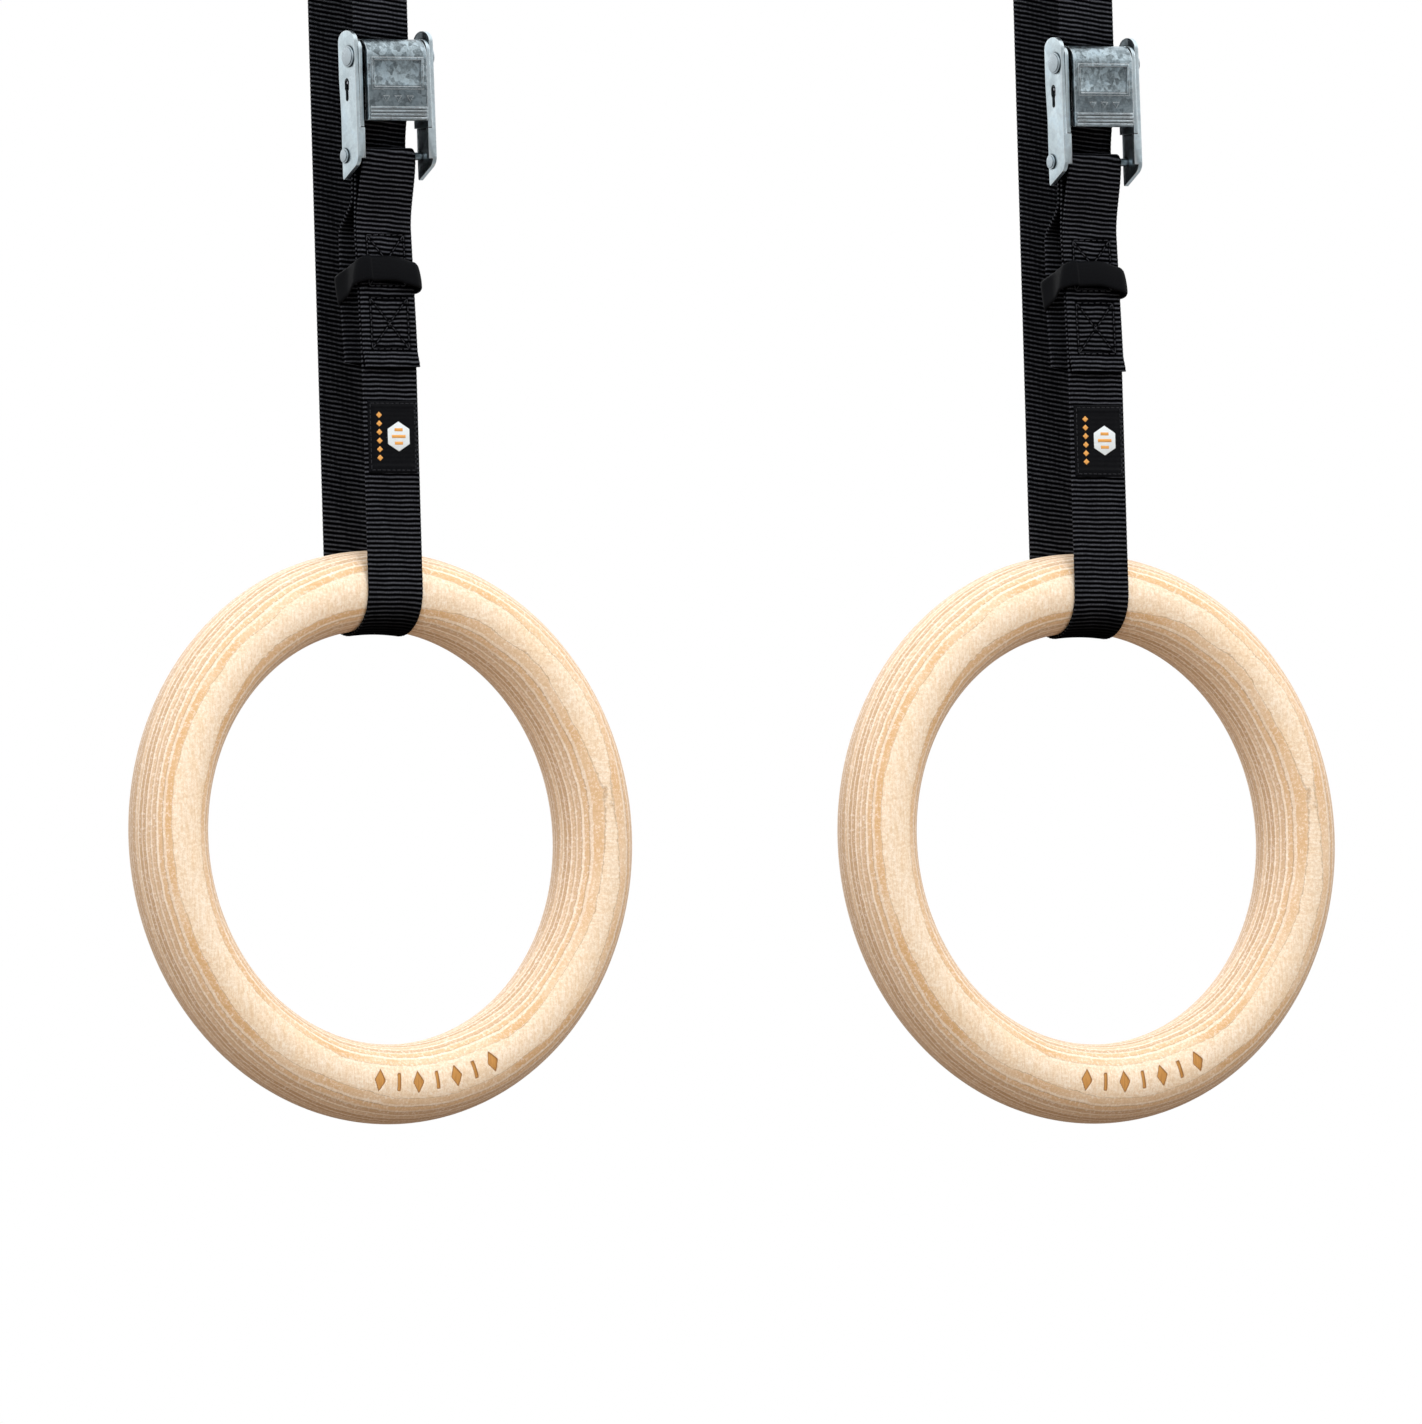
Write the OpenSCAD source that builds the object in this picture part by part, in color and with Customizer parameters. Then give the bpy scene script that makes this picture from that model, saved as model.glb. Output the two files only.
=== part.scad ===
// A pair of wooden gymnastics rings, each hung on a webbing strap that loops over a bar.
// Frame: X runs along the bar, -Y is the front, Z is up.
// The origin is on the bar's axis, midway between the two straps.
// Each set is measured from its ring's centre, with x across the webbing:
// h is a height above that centre, n is a distance towards the front.
// Names ending in _h and _n are such places.

/* [Layout] */
// Distance between the two straps, along the bar
set_spacing = 332; // [260:1:600]
// Distance from the bar's axis down to the ring's centre
drop = 410; // [400:1:440]

/* [Ring] */
// Outer diameter of the ring
ring_od = 230; // [220:1:245]
// Diameter of the round section the hands hold
tube_d = 32; // [32:0.1:32.4]
// Depth of the burnt motif in the wood
motif_depth = 0.5; // [0.3:0.1:0.8]

/* [Webbing] */
// Width of the webbing
web_w = 25.4; // [24:0.1:26]
// Thickness of one layer of webbing
web_t = 1.6; // [1.4:0.05:1.6]
// How far the loose tail bows back behind the sewn strap
tail_bow = 10.6; // [4:0.2:11]

/* [Buckle] */
// Height of the cam's pivot above the ring's centre
pivot_h = 311.5; // [310:0.5:313]
// Height of the pin that the sewn end turns round
strap_pin_h = 272; // [271:0.5:274]
// Half the width of the buckle over its outer ears
ear_x = 18.4; // [18.4:0.1:20]
// Width of the cam lever
lever_w = 27.6; // [26:0.1:28]
// Radius of the cam's pivot pin
cam_pin_r = 2.5; // [2:0.1:2.5]
// Radius of the strap pin
strap_pin_r = 1.6; // [1.4:0.1:1.7]

/* [Keeper] */
// Height of the elastic keeper's lower edge above the ring's centre
keeper_h = 217; // [214:0.5:222]
// Width of the elastic
keeper_w = 11.5; // [10:0.5:12.5]

/* [Hidden] */
$fn = 96;
left = -1;
right = 1;

// Colours
webbing_black = [0.07, 0.07, 0.08];
thread_black = [0.03, 0.03, 0.03];
label_black = [0.05, 0.05, 0.055];
label_thread_grey = [0.12, 0.12, 0.13];
elastic_black = [0.04, 0.04, 0.045];
frame_steel = [0.72, 0.76, 0.78];
cheek_steel = [0.66, 0.70, 0.72];
lever_grey = [0.62, 0.65, 0.66];
pin_steel = [0.80, 0.83, 0.85];
spring_steel = [0.45, 0.46, 0.48];
wood = [0.86, 0.73, 0.55];

// Gaps
gap = 0.15;          // between webbing and what it wraps
ply_gap = 0.05;      // between the main strap and its fold
sewing_gap = 0.02;   // behind raised stitches
seam_gap = 0.3;      // between two lengths of one strap
end_gap = 0.1;       // between a straight run and the bar loop or saddle
pin_clearance = 0.05;
over = 1;            // how far a cutter runs past what it cuts

// Ring and straight runs
ring_R = (ring_od - tube_d) / 2;  // radius of the ring's centre line
run_n = tube_d / 2 + gap;         // inner face of both runs, and the bar loop's inner radius
outer_n = run_n + web_t;          // outer face of both runs
mid_n = run_n + web_t / 2;        // middle of the front run

// Strap stations
front_h = 330;   // the front run becomes the adjusting strap here
bow_h = 262;     // and the adjusting strap becomes the tail here
dip_h = 243;     // the sewn strap leans back from lean_h up to here
lean_h = 186;
fold_h = 187.4;  // free end of the sewn fold
tail_h = 188;    // free end of the tail
split_h = 143;   // the strap below this turns with the ring

// Sewn strap
lean = 2.95;     // how far it leans back
lean_angle = atan2(lean, dip_h - lean_h);
dip_n = mid_n - lean;
ply_step = web_t + ply_gap;
stack_n = mid_n + ply_step;              // middle of the fold on the main strap, before the lean
wrap_r = strap_pin_r + gap + web_t / 2;  // middle of the webbing round the strap pin
pin_n = mid_n - 1.3 + wrap_r;            // strap pin

// Buckle
plate_t = 1.6;
ear_t = 1.7;
cheek_t = 1.6;
cheek_gap = 0.1;            // from the cheeks to the ears and the plate
ear_d = 12.4;               // depth of the ears
base_n = pin_n - 3.2;       // back of the buckle
lip_n = base_n + ear_d + 0.6;  // front of the hemmed edges
keyhole_n = base_n + 5.9;
cheek_x = ear_x - ear_t - cheek_gap - cheek_t;  // inner face of the cheeks
through_x = across(2 * (ear_x + over));         // cutters through the whole buckle

// Adjusting strap and cam
cam_web_n = base_n + plate_t + 0.2 + web_t / 2;  // middle of the strap under the cam
pivot_n = cam_web_n + web_t / 2 + 4.5;
exit_n = pin_n - wrap_r - web_t - 0.85;  // middle of the strap behind the strap pin
exit_step = 0.9;                         // short step back just below the strap pin
tail_n = exit_n - exit_step - tail_bow;  // middle of the tail at its furthest back
// Bends of the adjusting strap, from the top: height where it starts, length, shift in n
adjust_bends = [
    [303.5, 28, exit_n - cam_web_n],
    [268, 14, -exit_step],
    [256, 15, -tail_bow],
    [214, 26, 2]
];

function z_at(h) = h - drop;
function smooth(t) = let (u = min(1, max(0, t))) u * u * (3 - 2 * u);
function blend(from, to, t) = from + (to - from) * smooth(t);
function arc(x, y, r, start, end, steps) =
    [for (i = [0:steps]) let (a = start + (end - start) * i / steps) [x + r * cos(a), y + r * sin(a)]];
function reversed(list) = [for (i = [len(list) - 1:-1:0]) list[i]];
// range of a given width, centred on zero
function across(width) = [-width / 2, width / 2];
// x range between two distances from the centre, on one side (-1 or 1)
function on_side(side, inner, outer) = side > 0 ? [inner, outer] : [-outer, -inner];

module place(side) {
    translate([side * set_spacing / 2, 0, 0]) children();
}

// Below, x, n and h given as pairs are [low, high] ranges.
// extrudes an (n, h) outline across x
module profile(x) {
    translate([x[0], 0, -drop]) rotate([90, 0, 90])
        linear_extrude(x[1] - x[0]) mirror([1, 0]) children();
}
module cross_pin(n, h, r, x) {
    translate([x[0], -n, z_at(h)]) rotate([0, 90, 0]) cylinder(r = r, h = x[1] - x[0]);
}
module block(x, n, h) {
    translate([x[0], -n[1], z_at(h[0])]) cube([x[1] - x[0], n[1] - n[0], h[1] - h[0]]);
}

// ---- webbing ----
// half turn of webbing over the bar
module bar_loop() {
    cut_x = across(web_w + 2 * over);
    color(webbing_black) intersection() {
        difference() {
            cross_pin(0, drop, outer_n, across(web_w));
            cross_pin(0, drop, run_n, cut_x);
        }
        block(cut_x, across(2 * (outer_n + over)), [drop, drop + outer_n + over]);
    }
}

// middle of the adjusting strap: from the bar, through the cam, and down as the loose tail
function adjust_n(h) = blend(cam_web_n, mid_n, (h - front_h) / (drop - front_h))
    + [for (bend = adjust_bends) bend[2]]
    * [for (bend = adjust_bends) smooth((bend[0] - h) / bend[1])];
// a point on one face (1 front, -1 back) of the adjusting strap
function adjust_point(h, face) =
    let (step = 0.2,
        slope = (adjust_n(h + step) - adjust_n(h - step)) / (2 * step),
        offset = face * web_t / 2 / sqrt(1 + slope * slope))
    [adjust_n(h) + offset, h - slope * offset];
module adjust_part(bottom, top, steps) {
    heights = [for (i = [0:steps]) top - (top - bottom) * i / steps];
    color(webbing_black) profile(across(web_w)) polygon(concat(
        [for (h = heights) adjust_point(h, 1)],
        [for (h = reversed(heights)) adjust_point(h, -1)]));
}
module front_strap() { adjust_part(front_h + seam_gap, drop - end_gap, 14); }
module adjust_strap() { adjust_part(bow_h + seam_gap, front_h, 34); }
module tail_strap() { adjust_part(tail_h, bow_h, 44); }

// straight length of webbing with its back face at n
module straight_run(n, h) { color(webbing_black) block(across(web_w), [n, n + web_t], h); }
module rear_strap() { straight_run(-outer_n, [split_h + seam_gap, drop - end_gap]); }
module rear_strap_lower() { straight_run(-outer_n, [ring_R + end_gap, split_h]); }
module front_strap_lower() { straight_run(run_n, [ring_R + end_gap, split_h]); }

// middles of the main strap, which rises to the strap pin, and of the fold that comes back down
function pin_rise(h) = (h - dip_h) / (strap_pin_h - dip_h);
function main_n(h) = h < dip_h
    ? mid_n - lean * max(0, (h - lean_h) / (dip_h - lean_h))
    : blend(dip_n, pin_n - wrap_r, pin_rise(h));
function fold_n(h) = h < dip_h
    ? main_n(h) + ply_step
    : blend(dip_n + ply_step, pin_n + wrap_r, pin_rise(h));
module sewn_strap() {
    curve = [for (i = [0:20]) strap_pin_h - (strap_pin_h - dip_h) * i / 20];
    fold_heights = concat(curve, [fold_h]);
    main_heights = concat(curve, [lean_h, split_h + seam_gap]);
    half = web_t / 2;
    color(webbing_black) profile(across(web_w)) polygon(concat(
        [for (h = reversed(main_heights)) [main_n(h) - half, h]],
        arc(pin_n, strap_pin_h, wrap_r + half, 172.5, 7.5, 22),
        [for (h = fold_heights) [fold_n(h) + half, h]],
        [for (h = reversed(fold_heights)) [fold_n(h) - half, h]],
        arc(pin_n, strap_pin_h, wrap_r - half, 7.5, 172.5, 22),
        [for (h = main_heights) [main_n(h) + half, h]]));
}

// the strap where it cradles the ring: the inner half of a shell round the ring's section
module ring_saddle() {
    reach = 30;  // of the square that keeps the inner half
    color(webbing_black) translate([0, 0, -drop]) intersection() {
        rotate([90, 0, 0]) rotate_extrude() intersection() {
            translate([ring_R, 0]) difference() {
                circle(r = outer_n);
                circle(r = run_n);
            }
            translate([ring_R - reach, -reach]) square([reach - end_gap, 2 * reach]);
        }
        translate([-web_w / 2, -40, 40]) cube([web_w, 80, 80]);
    }
}

// ---- sewing and label ----
// turns flat sewing to lie on the leaning fold
module leaning() {
    translate([0, -mid_n, z_at(lean_h)]) rotate([-lean_angle, 0, 0])
        translate([0, mid_n, -z_at(lean_h)]) children();
}
// box of stitches with both diagonals
module stitch_box(bottom, top) {
    width = 17.6;
    thread = 0.6;
    relief = 0.35;
    back_n = stack_n + web_t / 2 + sewing_gap;
    n = [back_n, back_n + relief];
    run = width - thread;
    rise = top - bottom - thread;
    diagonal = sqrt(run * run + rise * rise);
    union() {
        block(across(width), n, [bottom, bottom + thread]);
        block(across(width), n, [top - thread, top]);
        for (side = [-1, 1]) {
            block(on_side(side, width / 2 - thread, width / 2), n, [bottom, top]);
            translate([0, -back_n, z_at((bottom + top) / 2)]) rotate([0, side * atan2(rise, run), 0])
                translate([-diagonal / 2, -relief, -thread / 2]) cube([diagonal, relief, thread]);
        }
    }
}
// two boxes that hold the fold to the main strap
module box_stitching() {
    color(thread_black) leaning() {
        stitch_box(194.6, 215.1);
        stitch_box(220, 240.5);
    }
}

label_w = 22.6;
label_h = [145, 174];
label_n = [outer_n + 0.03, outer_n + 0.55];
module label() { color(label_black) block(across(label_w), label_n, label_h); }
// one line of stitches just inside the label's edge
module label_stitching() {
    inset = 1;
    thread = 0.4;
    relief = 0.2;
    inner = inset + thread;
    back_n = label_n[1] + sewing_gap;
    color(label_thread_grey) difference() {
        block(across(label_w - 2 * inset), [back_n, back_n + relief],
            [label_h[0] + inset, label_h[1] - inset]);
        block(across(label_w - 2 * inner), [back_n - over, back_n + over],
            [label_h[0] + inner, label_h[1] - inner]);
    }
}

// ---- keeper ----
keeper_x = 14;        // half its outer width
keeper_t = 1;
keeper_corner = 2;
keeper_n = [tail_n - web_t / 2 - 1.6, stack_n + web_t / 2 + 1.45];
// rounded rectangle seen from above, drawn a given distance inside the outer face
module keeper_outline(inset) {
    r = keeper_corner - inset;
    x = keeper_x - inset - r;             // corner centres
    front_y = -keeper_n[1] + inset + r;
    back_y = -keeper_n[0] - inset - r;
    polygon(concat(
        arc(x, back_y, r, 0, 90, 8), arc(-x, back_y, r, 90, 180, 8),
        arc(-x, front_y, r, 180, 270, 8), arc(x, front_y, r, 270, 360, 8)));
}
// loose elastic loop round the sewn strap and the tail
module keeper() {
    color(elastic_black) translate([0, 0, z_at(keeper_h)]) difference() {
        linear_extrude(keeper_w) keeper_outline(0);
        translate([0, 0, -over]) linear_extrude(keeper_w + 2 * over) keeper_outline(keeper_t);
    }
}

// ---- buckle ----
ear_top = 322;
ear_bottom = 262.4;
plate_h = [305.4, 317.6];
lip_h = [270.6, 282.8];
cheek_h = [283.1, 318.6];

// rounded top, back edge stepped in below the plate, raked foot with a rounded front corner
module ear_outline() {
    half = ear_d / 2;
    crown = 4.6;       // height of the rounded top
    step_n = base_n + 0.9;
    toe_r = 5;         // front corner of the foot
    polygon(concat(
        [for (i = [0:32]) let (a = 180 * i / 32)
            [base_n + half + half * cos(a), ear_top - crown + crown * sin(a)]],
        [[base_n, 303], [step_n, 289], [step_n, 268]],
        arc(base_n + 2, ear_bottom + 1, 1, 180, 245, 4),
        arc(lip_n - toe_r, ear_bottom + 9.2, toe_r, 300, 360, 10)));
}
// upright slot with round ends, cut right through the buckle
module slot(n, h, width) {
    low = h[0] + width / 2;
    high = h[1] - width / 2;
    cross_pin(n, low, width / 2, through_x);
    cross_pin(n, high, width / 2, through_x);
    block(through_x, [n - width / 2, n + width / 2], [low, high]);
}
// a narrow slot under a wider one
module keyhole() {
    slot(keyhole_n, [293.6, 300], 2.2);
    slot(keyhole_n, [297.4, 302.9], 3.4);
}
module cam_pin_hole() { cross_pin(pivot_n, pivot_h, cam_pin_r + pin_clearance, through_x); }
module strap_pin_hole() { cross_pin(pin_n, strap_pin_h, strap_pin_r + pin_clearance, through_x); }

// stamped channel: two ears joined by the plate the cam presses against,
// with hemmed lower front edges
module buckle_frame() {
    color(frame_steel) difference() {
        union() {
            block(across(2 * ear_x), [base_n, base_n + plate_t], plate_h);
            for (side = [-1, 1]) {
                profile(on_side(side, ear_x - ear_t, ear_x)) ear_outline();
                block(on_side(side, cheek_x - 0.2, ear_x - 0.5), [lip_n - 1.8, lip_n], lip_h);
            }
        }
        cam_pin_hole();
        strap_pin_hole();
        keyhole();
    }
}
// inner liner plates that double the ears round the cam
module buckle_cheeks() {
    back_n = base_n + plate_t + cheek_gap;
    front_n = base_n + ear_d + 0.5;
    corner = 4.5;
    corner_h = cheek_h[1] - corner;
    color(cheek_steel) for (side = [-1, 1]) difference() {
        profile(on_side(side, cheek_x, cheek_x + cheek_t)) polygon(concat(
            arc(back_n + corner, corner_h, corner, 90, 180, 10),
            [[back_n, cheek_h[0]], [front_n, cheek_h[0]]],
            arc(front_n - corner, corner_h, corner, 0, 90, 10)));
        cam_pin_hole();
        keyhole();
    }
}

// plain pin with a flat, stepped head over each ear
module riveted_pin(n, h, r, head_r) {
    color(pin_steel) union() {
        cross_pin(n, h, r, across(2 * (ear_x + 0.3)));
        for (side = [-1, 1]) {
            cross_pin(n, h, head_r, on_side(side, ear_x + 0.05, ear_x + 0.75));
            cross_pin(n, h, head_r - 0.6, on_side(side, ear_x + 0.6, ear_x + 1.1));
        }
    }
}
module cam_pin() { riveted_pin(pivot_n, pivot_h, cam_pin_r, head_r = 4.2); }
module strap_pin() { riveted_pin(pin_n, strap_pin_h, strap_pin_r, head_r = 2.9); }

// ---- cam lever ----
lever_face = 7;                  // front face in front of the pivot, and radius of the head
lever_len = 26;                  // from the pivot down to the tip
face_n = pivot_n + lever_face;
root_n = face_n - 0.5;           // raised details start inside the lever
panel_x = 11;                    // half the width of the sunk panel
panel_h = [pivot_h - 12.4, pivot_h - 1.6];

// side outline, measured from the pivot
module lever_outline() {
    polygon(concat(
        // rolled head from the front face over the top
        arc(0, 0, lever_face, 0, 122, 24),
        // toothed cam towards the strap
        [for (i = [0:14])
            let (a = 130 + 6.5 * i, r = (i % 2 == 0 ? 4.0 : 4.4) + (180 - a) * 0.012)
            [r * cos(a), r * sin(a)]],
        // back of the thumb plate, then its rounded tip
        [[-1.2, -4.0], [0.6, -5.6], [lever_face - 2.9, -8.5]],
        [[lever_face - 2.6, -lever_len + 5], [lever_face - 3.2, -lever_len + 2.4]],
        arc(lever_face - 2.2, -lever_len + 1, 1, 180, 270, 4),
        arc(lever_face - 1, -lever_len + 1, 1, 270, 360, 6)));
}
// raised frame round the sunk panel
module panel_frame() {
    bead = 1;
    n = [root_n, face_n + 0.35];
    low = panel_h[0] - bead;
    high = panel_h[1] + bead;
    for (side = [-1, 1]) block(on_side(side, panel_x, panel_x + bead), n, [low, high]);
    for (bottom = [low, high - bead])
        block(across(2 * panel_x + bead), n, [bottom, bottom + bead]);
}
module thumb_ribs() {
    for (i = [0:3]) {
        bottom = pivot_h - 21.2 - 1.4 * i;
        block(across(lever_w - 1.6), [root_n, face_n + 0.55], [bottom, bottom + 0.7]);
    }
}
// three raised arrowheads that point down
module arrowheads() {
    for (x = [-5.5, 0, 5.5])
        translate([x, -face_n + 0.2, z_at(pivot_h - 17.2)]) rotate([90, 0, 0])
            linear_extrude(0.45) polygon([[-1.6, 1.1], [1.6, 1.1], [0, -1.2]]);
}
// room for the spring, at the left end
module spring_pocket() {
    x = [-lever_w / 2 - over, -7.4];
    cross_pin(pivot_n, pivot_h, 4.7, x);
    block(x, [pivot_n - 6, pivot_n + 4.1], [pivot_h - 14, pivot_h]);
}
// die-cast lever: rolled head, toothed cam behind it, thumb plate in front
module cam_lever() {
    color(lever_grey) difference() {
        union() {
            profile(across(lever_w)) translate([pivot_n, pivot_h]) lever_outline();
            panel_frame();
            thumb_ribs();
            arrowheads();
        }
        cam_pin_hole();
        block(across(2 * panel_x), [face_n - 0.6, face_n + over], panel_h);
        spring_pocket();
    }
}

// ---- cam spring ----
wire_r = 0.55;
// Centre line as [x, n from the pivot, h from the pivot]:
// hook in the ear's keyhole, coil round the pin, leg against the lever
function spring_path() =
    let (coil_r = cam_pin_r + 0.15 + wire_r,
        coil_x = -lever_w / 2 + 0.9,
        pitch = 1.3 / 360,  // per degree
        start = 206.5,
        end = -1080,
        end_x = coil_x + pitch * (start - end),
        hook_n = keyhole_n - pivot_n)
    concat(
        [[-ear_x + 0.3, hook_n, -10.4], [coil_x - 1.6, hook_n, -10.4],
            [coil_x - 0.7, hook_n, -10.2], [coil_x - 0.15, hook_n, -9.4],
            [coil_x, -2.4, -7.2], [coil_x, -2.2, -4.8]],
        [for (i = [0:60]) let (a = start + (end - start) * i / 60)
            [coil_x + pitch * (start - a), coil_r * cos(a), coil_r * sin(a)]],
        [[end_x, coil_r, -5], [end_x, coil_r, -12]]);
// unit vector along the part of v that is square to a unit axis
function square_to(v, axis) = let (part = v - (v * axis) * axis) part / norm(part);
// round wire along a path; each section's first direction is carried on from the one before
module tube(path, r, sides = 10) {
    count = len(path);
    tangents = [for (i = [0:count - 1])
        let (chord = path[min(count - 1, i + 1)] - path[max(0, i - 1)]) chord / norm(chord)];
    normals = [for (i = 0, v = square_to([0, 0.1, 1], tangents[0]); i < count;
        i = i + 1, v = i < count ? square_to(v, tangents[i]) : v) v];
    points = [for (i = [0:count - 1]) for (k = [0:sides - 1]) let (a = 360 * k / sides)
        path[i] + r * (cos(a) * normals[i] + sin(a) * cross(tangents[i], normals[i]))];
    polyhedron(points, concat(
        [[for (k = [0:sides - 1]) k]],
        [[for (k = [sides - 1:-1:0]) (count - 1) * sides + k]],
        [for (i = [0:count - 2]) for (k = [0:sides - 1])
            let (next = (k + 1) % sides, here = i * sides, ahead = here + sides)
            [here + next, here + k, ahead + k, ahead + next]]));
}
module cam_spring() {
    color(spring_steel) translate([0, -pivot_n, z_at(pivot_h)])
        tube([for (point = spring_path()) [point[0], -point[1], point[2]]], wire_r);
}

// ---- ring ----
// burnt motif: lozenges at even places, bars at odd ones
module motif_shape(i) {
    if (i % 2 == 0) polygon([[0, 4.6], [2.6, 0], [0, -4.6], [-2.6, 0]]);
    else translate([-0.8, -3.6]) square([1.6, 7.2]);
}
// ring with the motif sunk along its lower front face
module ring() {
    motif_pitch = 5.2;   // degrees
    motif_start = -7.5;  // degrees from the ring's lowest point
    color(wood) translate([0, 0, -drop]) rotate([90, 0, 0]) difference() {
        rotate_extrude() translate([ring_R, 0]) circle(r = tube_d / 2);
        intersection() {
            for (i = [0:6]) rotate([0, 0, motif_pitch * i + motif_start])
                translate([0, -ring_R, 0]) linear_extrude(40) motif_shape(i);
            rotate_extrude() translate([ring_R, 0]) difference() {
                circle(r = tube_d / 2 + 2);
                circle(r = tube_d / 2 - motif_depth);
            }
        }
    }
}

place(left) bar_loop();  // left_bar_loop
place(left) front_strap();  // left_front_strap
place(left) adjust_strap();  // left_adjust_strap
place(left) tail_strap();  // left_tail_strap
place(left) rear_strap();  // left_rear_strap
place(left) sewn_strap();  // left_sewn_strap
place(left) front_strap_lower();  // left_front_strap_lower
place(left) rear_strap_lower();  // left_rear_strap_lower
place(left) ring_saddle();  // left_ring_saddle
place(left) box_stitching();  // left_box_stitching
place(left) label();  // left_label
place(left) label_stitching();  // left_label_stitching
place(left) keeper();  // left_keeper
place(left) buckle_frame();  // left_buckle_frame
place(left) buckle_cheeks();  // left_buckle_cheeks
place(left) cam_lever();  // left_cam_lever
place(left) cam_pin();  // left_cam_pin
place(left) cam_spring();  // left_cam_spring
place(left) strap_pin();  // left_strap_pin
place(left) ring();  // left_ring
place(right) bar_loop();  // right_bar_loop
place(right) front_strap();  // right_front_strap
place(right) adjust_strap();  // right_adjust_strap
place(right) tail_strap();  // right_tail_strap
place(right) rear_strap();  // right_rear_strap
place(right) sewn_strap();  // right_sewn_strap
place(right) front_strap_lower();  // right_front_strap_lower
place(right) rear_strap_lower();  // right_rear_strap_lower
place(right) ring_saddle();  // right_ring_saddle
place(right) box_stitching();  // right_box_stitching
place(right) label();  // right_label
place(right) label_stitching();  // right_label_stitching
place(right) keeper();  // right_keeper
place(right) buckle_frame();  // right_buckle_frame
place(right) buckle_cheeks();  // right_buckle_cheeks
place(right) cam_lever();  // right_cam_lever
place(right) cam_pin();  // right_cam_pin
place(right) cam_spring();  // right_cam_spring
place(right) strap_pin();  // right_strap_pin
place(right) ring();  // right_ring
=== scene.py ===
# A pair of wooden rings, each hung from a bar by a webbing strap with a cam buckle.
# Scene frame, metres: the bar's axis runs along X through the origin, +Z is up and the
# front faces -Y. The left set is at -X and the right set at +X.
# Each set is worked out in millimetres as (x, out, up): x across from the set's middle,
# out towards the front from the middle plane, up from the ring's centre.
import math
import bmesh
import bpy
import numpy as np
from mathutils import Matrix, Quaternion, Vector


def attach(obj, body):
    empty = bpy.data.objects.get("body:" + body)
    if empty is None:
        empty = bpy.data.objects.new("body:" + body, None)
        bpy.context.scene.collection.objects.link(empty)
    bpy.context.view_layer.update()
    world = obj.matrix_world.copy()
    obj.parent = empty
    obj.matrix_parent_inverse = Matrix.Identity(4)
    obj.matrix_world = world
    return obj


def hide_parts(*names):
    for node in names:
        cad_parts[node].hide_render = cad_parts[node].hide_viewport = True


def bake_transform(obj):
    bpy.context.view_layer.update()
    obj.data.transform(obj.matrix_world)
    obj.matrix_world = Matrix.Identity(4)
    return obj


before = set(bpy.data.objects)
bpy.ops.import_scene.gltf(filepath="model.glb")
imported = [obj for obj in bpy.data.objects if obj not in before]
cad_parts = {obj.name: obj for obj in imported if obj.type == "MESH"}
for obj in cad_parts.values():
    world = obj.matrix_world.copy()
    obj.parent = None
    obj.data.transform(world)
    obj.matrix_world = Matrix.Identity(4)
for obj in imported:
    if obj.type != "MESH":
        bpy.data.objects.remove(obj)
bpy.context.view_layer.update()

MM = 0.001
SIDES = {"left": -1, "right": 1}
SPREAD = 166.0             # each set from the middle
BAR_UP = 410.0             # bar axis above the ring centres
RING_R, TUBE_R = 99.0, 16.0

# webbing
RIB_PITCH = 1.85
WEB_W, WEB_T = 25.4, 1.6
SELVEDGE_R = 0.85          # rounding of the long edges
PATH_STEP = 0.25           # spacing of path points
LAYER_GAP = 0.05
BACK_SHIFT = 40.0          # UV offset of the webbing's back face

# places towards the front; a strap's place is that of its centre plane
RUN_OUT = 16.15            # inner face of the straight runs
MID_OUT = RUN_OUT + WEB_T / 2
PIN_R = 1.6
WRAP_R = PIN_R + 0.15 + WEB_T / 2
PIN_OUT = MID_OUT - 1.3 + WRAP_R
ADJUST_OUT = PIN_OUT - 1.4 + WEB_T / 2
EXIT_OUT = PIN_OUT - WRAP_R - WEB_T - 0.85
STACK_OUT = MID_OUT + WEB_T + LAYER_GAP
EXIT_STEP, TAIL_BOW = 0.9, 10.6    # two moves of the tail towards the back
LEAN = 2.95                # how far the sewn strap leans back

# heights
FRONT_UP = 330.0           # foot of the front strap
PIN_UP = 272.0
BOW_UP = 262.0             # top of the tail
DIP_UP, LEAN_UP = 243.0, 186.0     # top and foot of the lean
TAIL_UP = 188.0            # foot of the tail
FOLD_UP = 187.4            # foot of the fold over the pin
SPLIT_UP = 143.0           # where the lower straps meet the upper ones

# straight bends of the adjusting strap and tail: (top height, length, move outwards)
EXIT_UP = 303.5
TAIL_BENDS = [
    (EXIT_UP, 28.0, EXIT_OUT - ADJUST_OUT),
    (268.0, 14.0, -EXIT_STEP),
    (256.0, 15.0, -TAIL_BOW),
    (214.0, 26.0, 2.0),
]

# sewing on the fold: crossed boxes, (foot, top)
BOXES = [(194.6, 215.1), (220.0, 240.5)]
BOX_HALF = 8.65

LABEL_W = 22.6
LABEL_FOOT, LABEL_TOP = 145.0, 174.0
SEAM_HALF = 10.3
SEAM_FOOT, SEAM_TOP = 146.1, 172.9

rng = np.random.default_rng(7)


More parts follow.
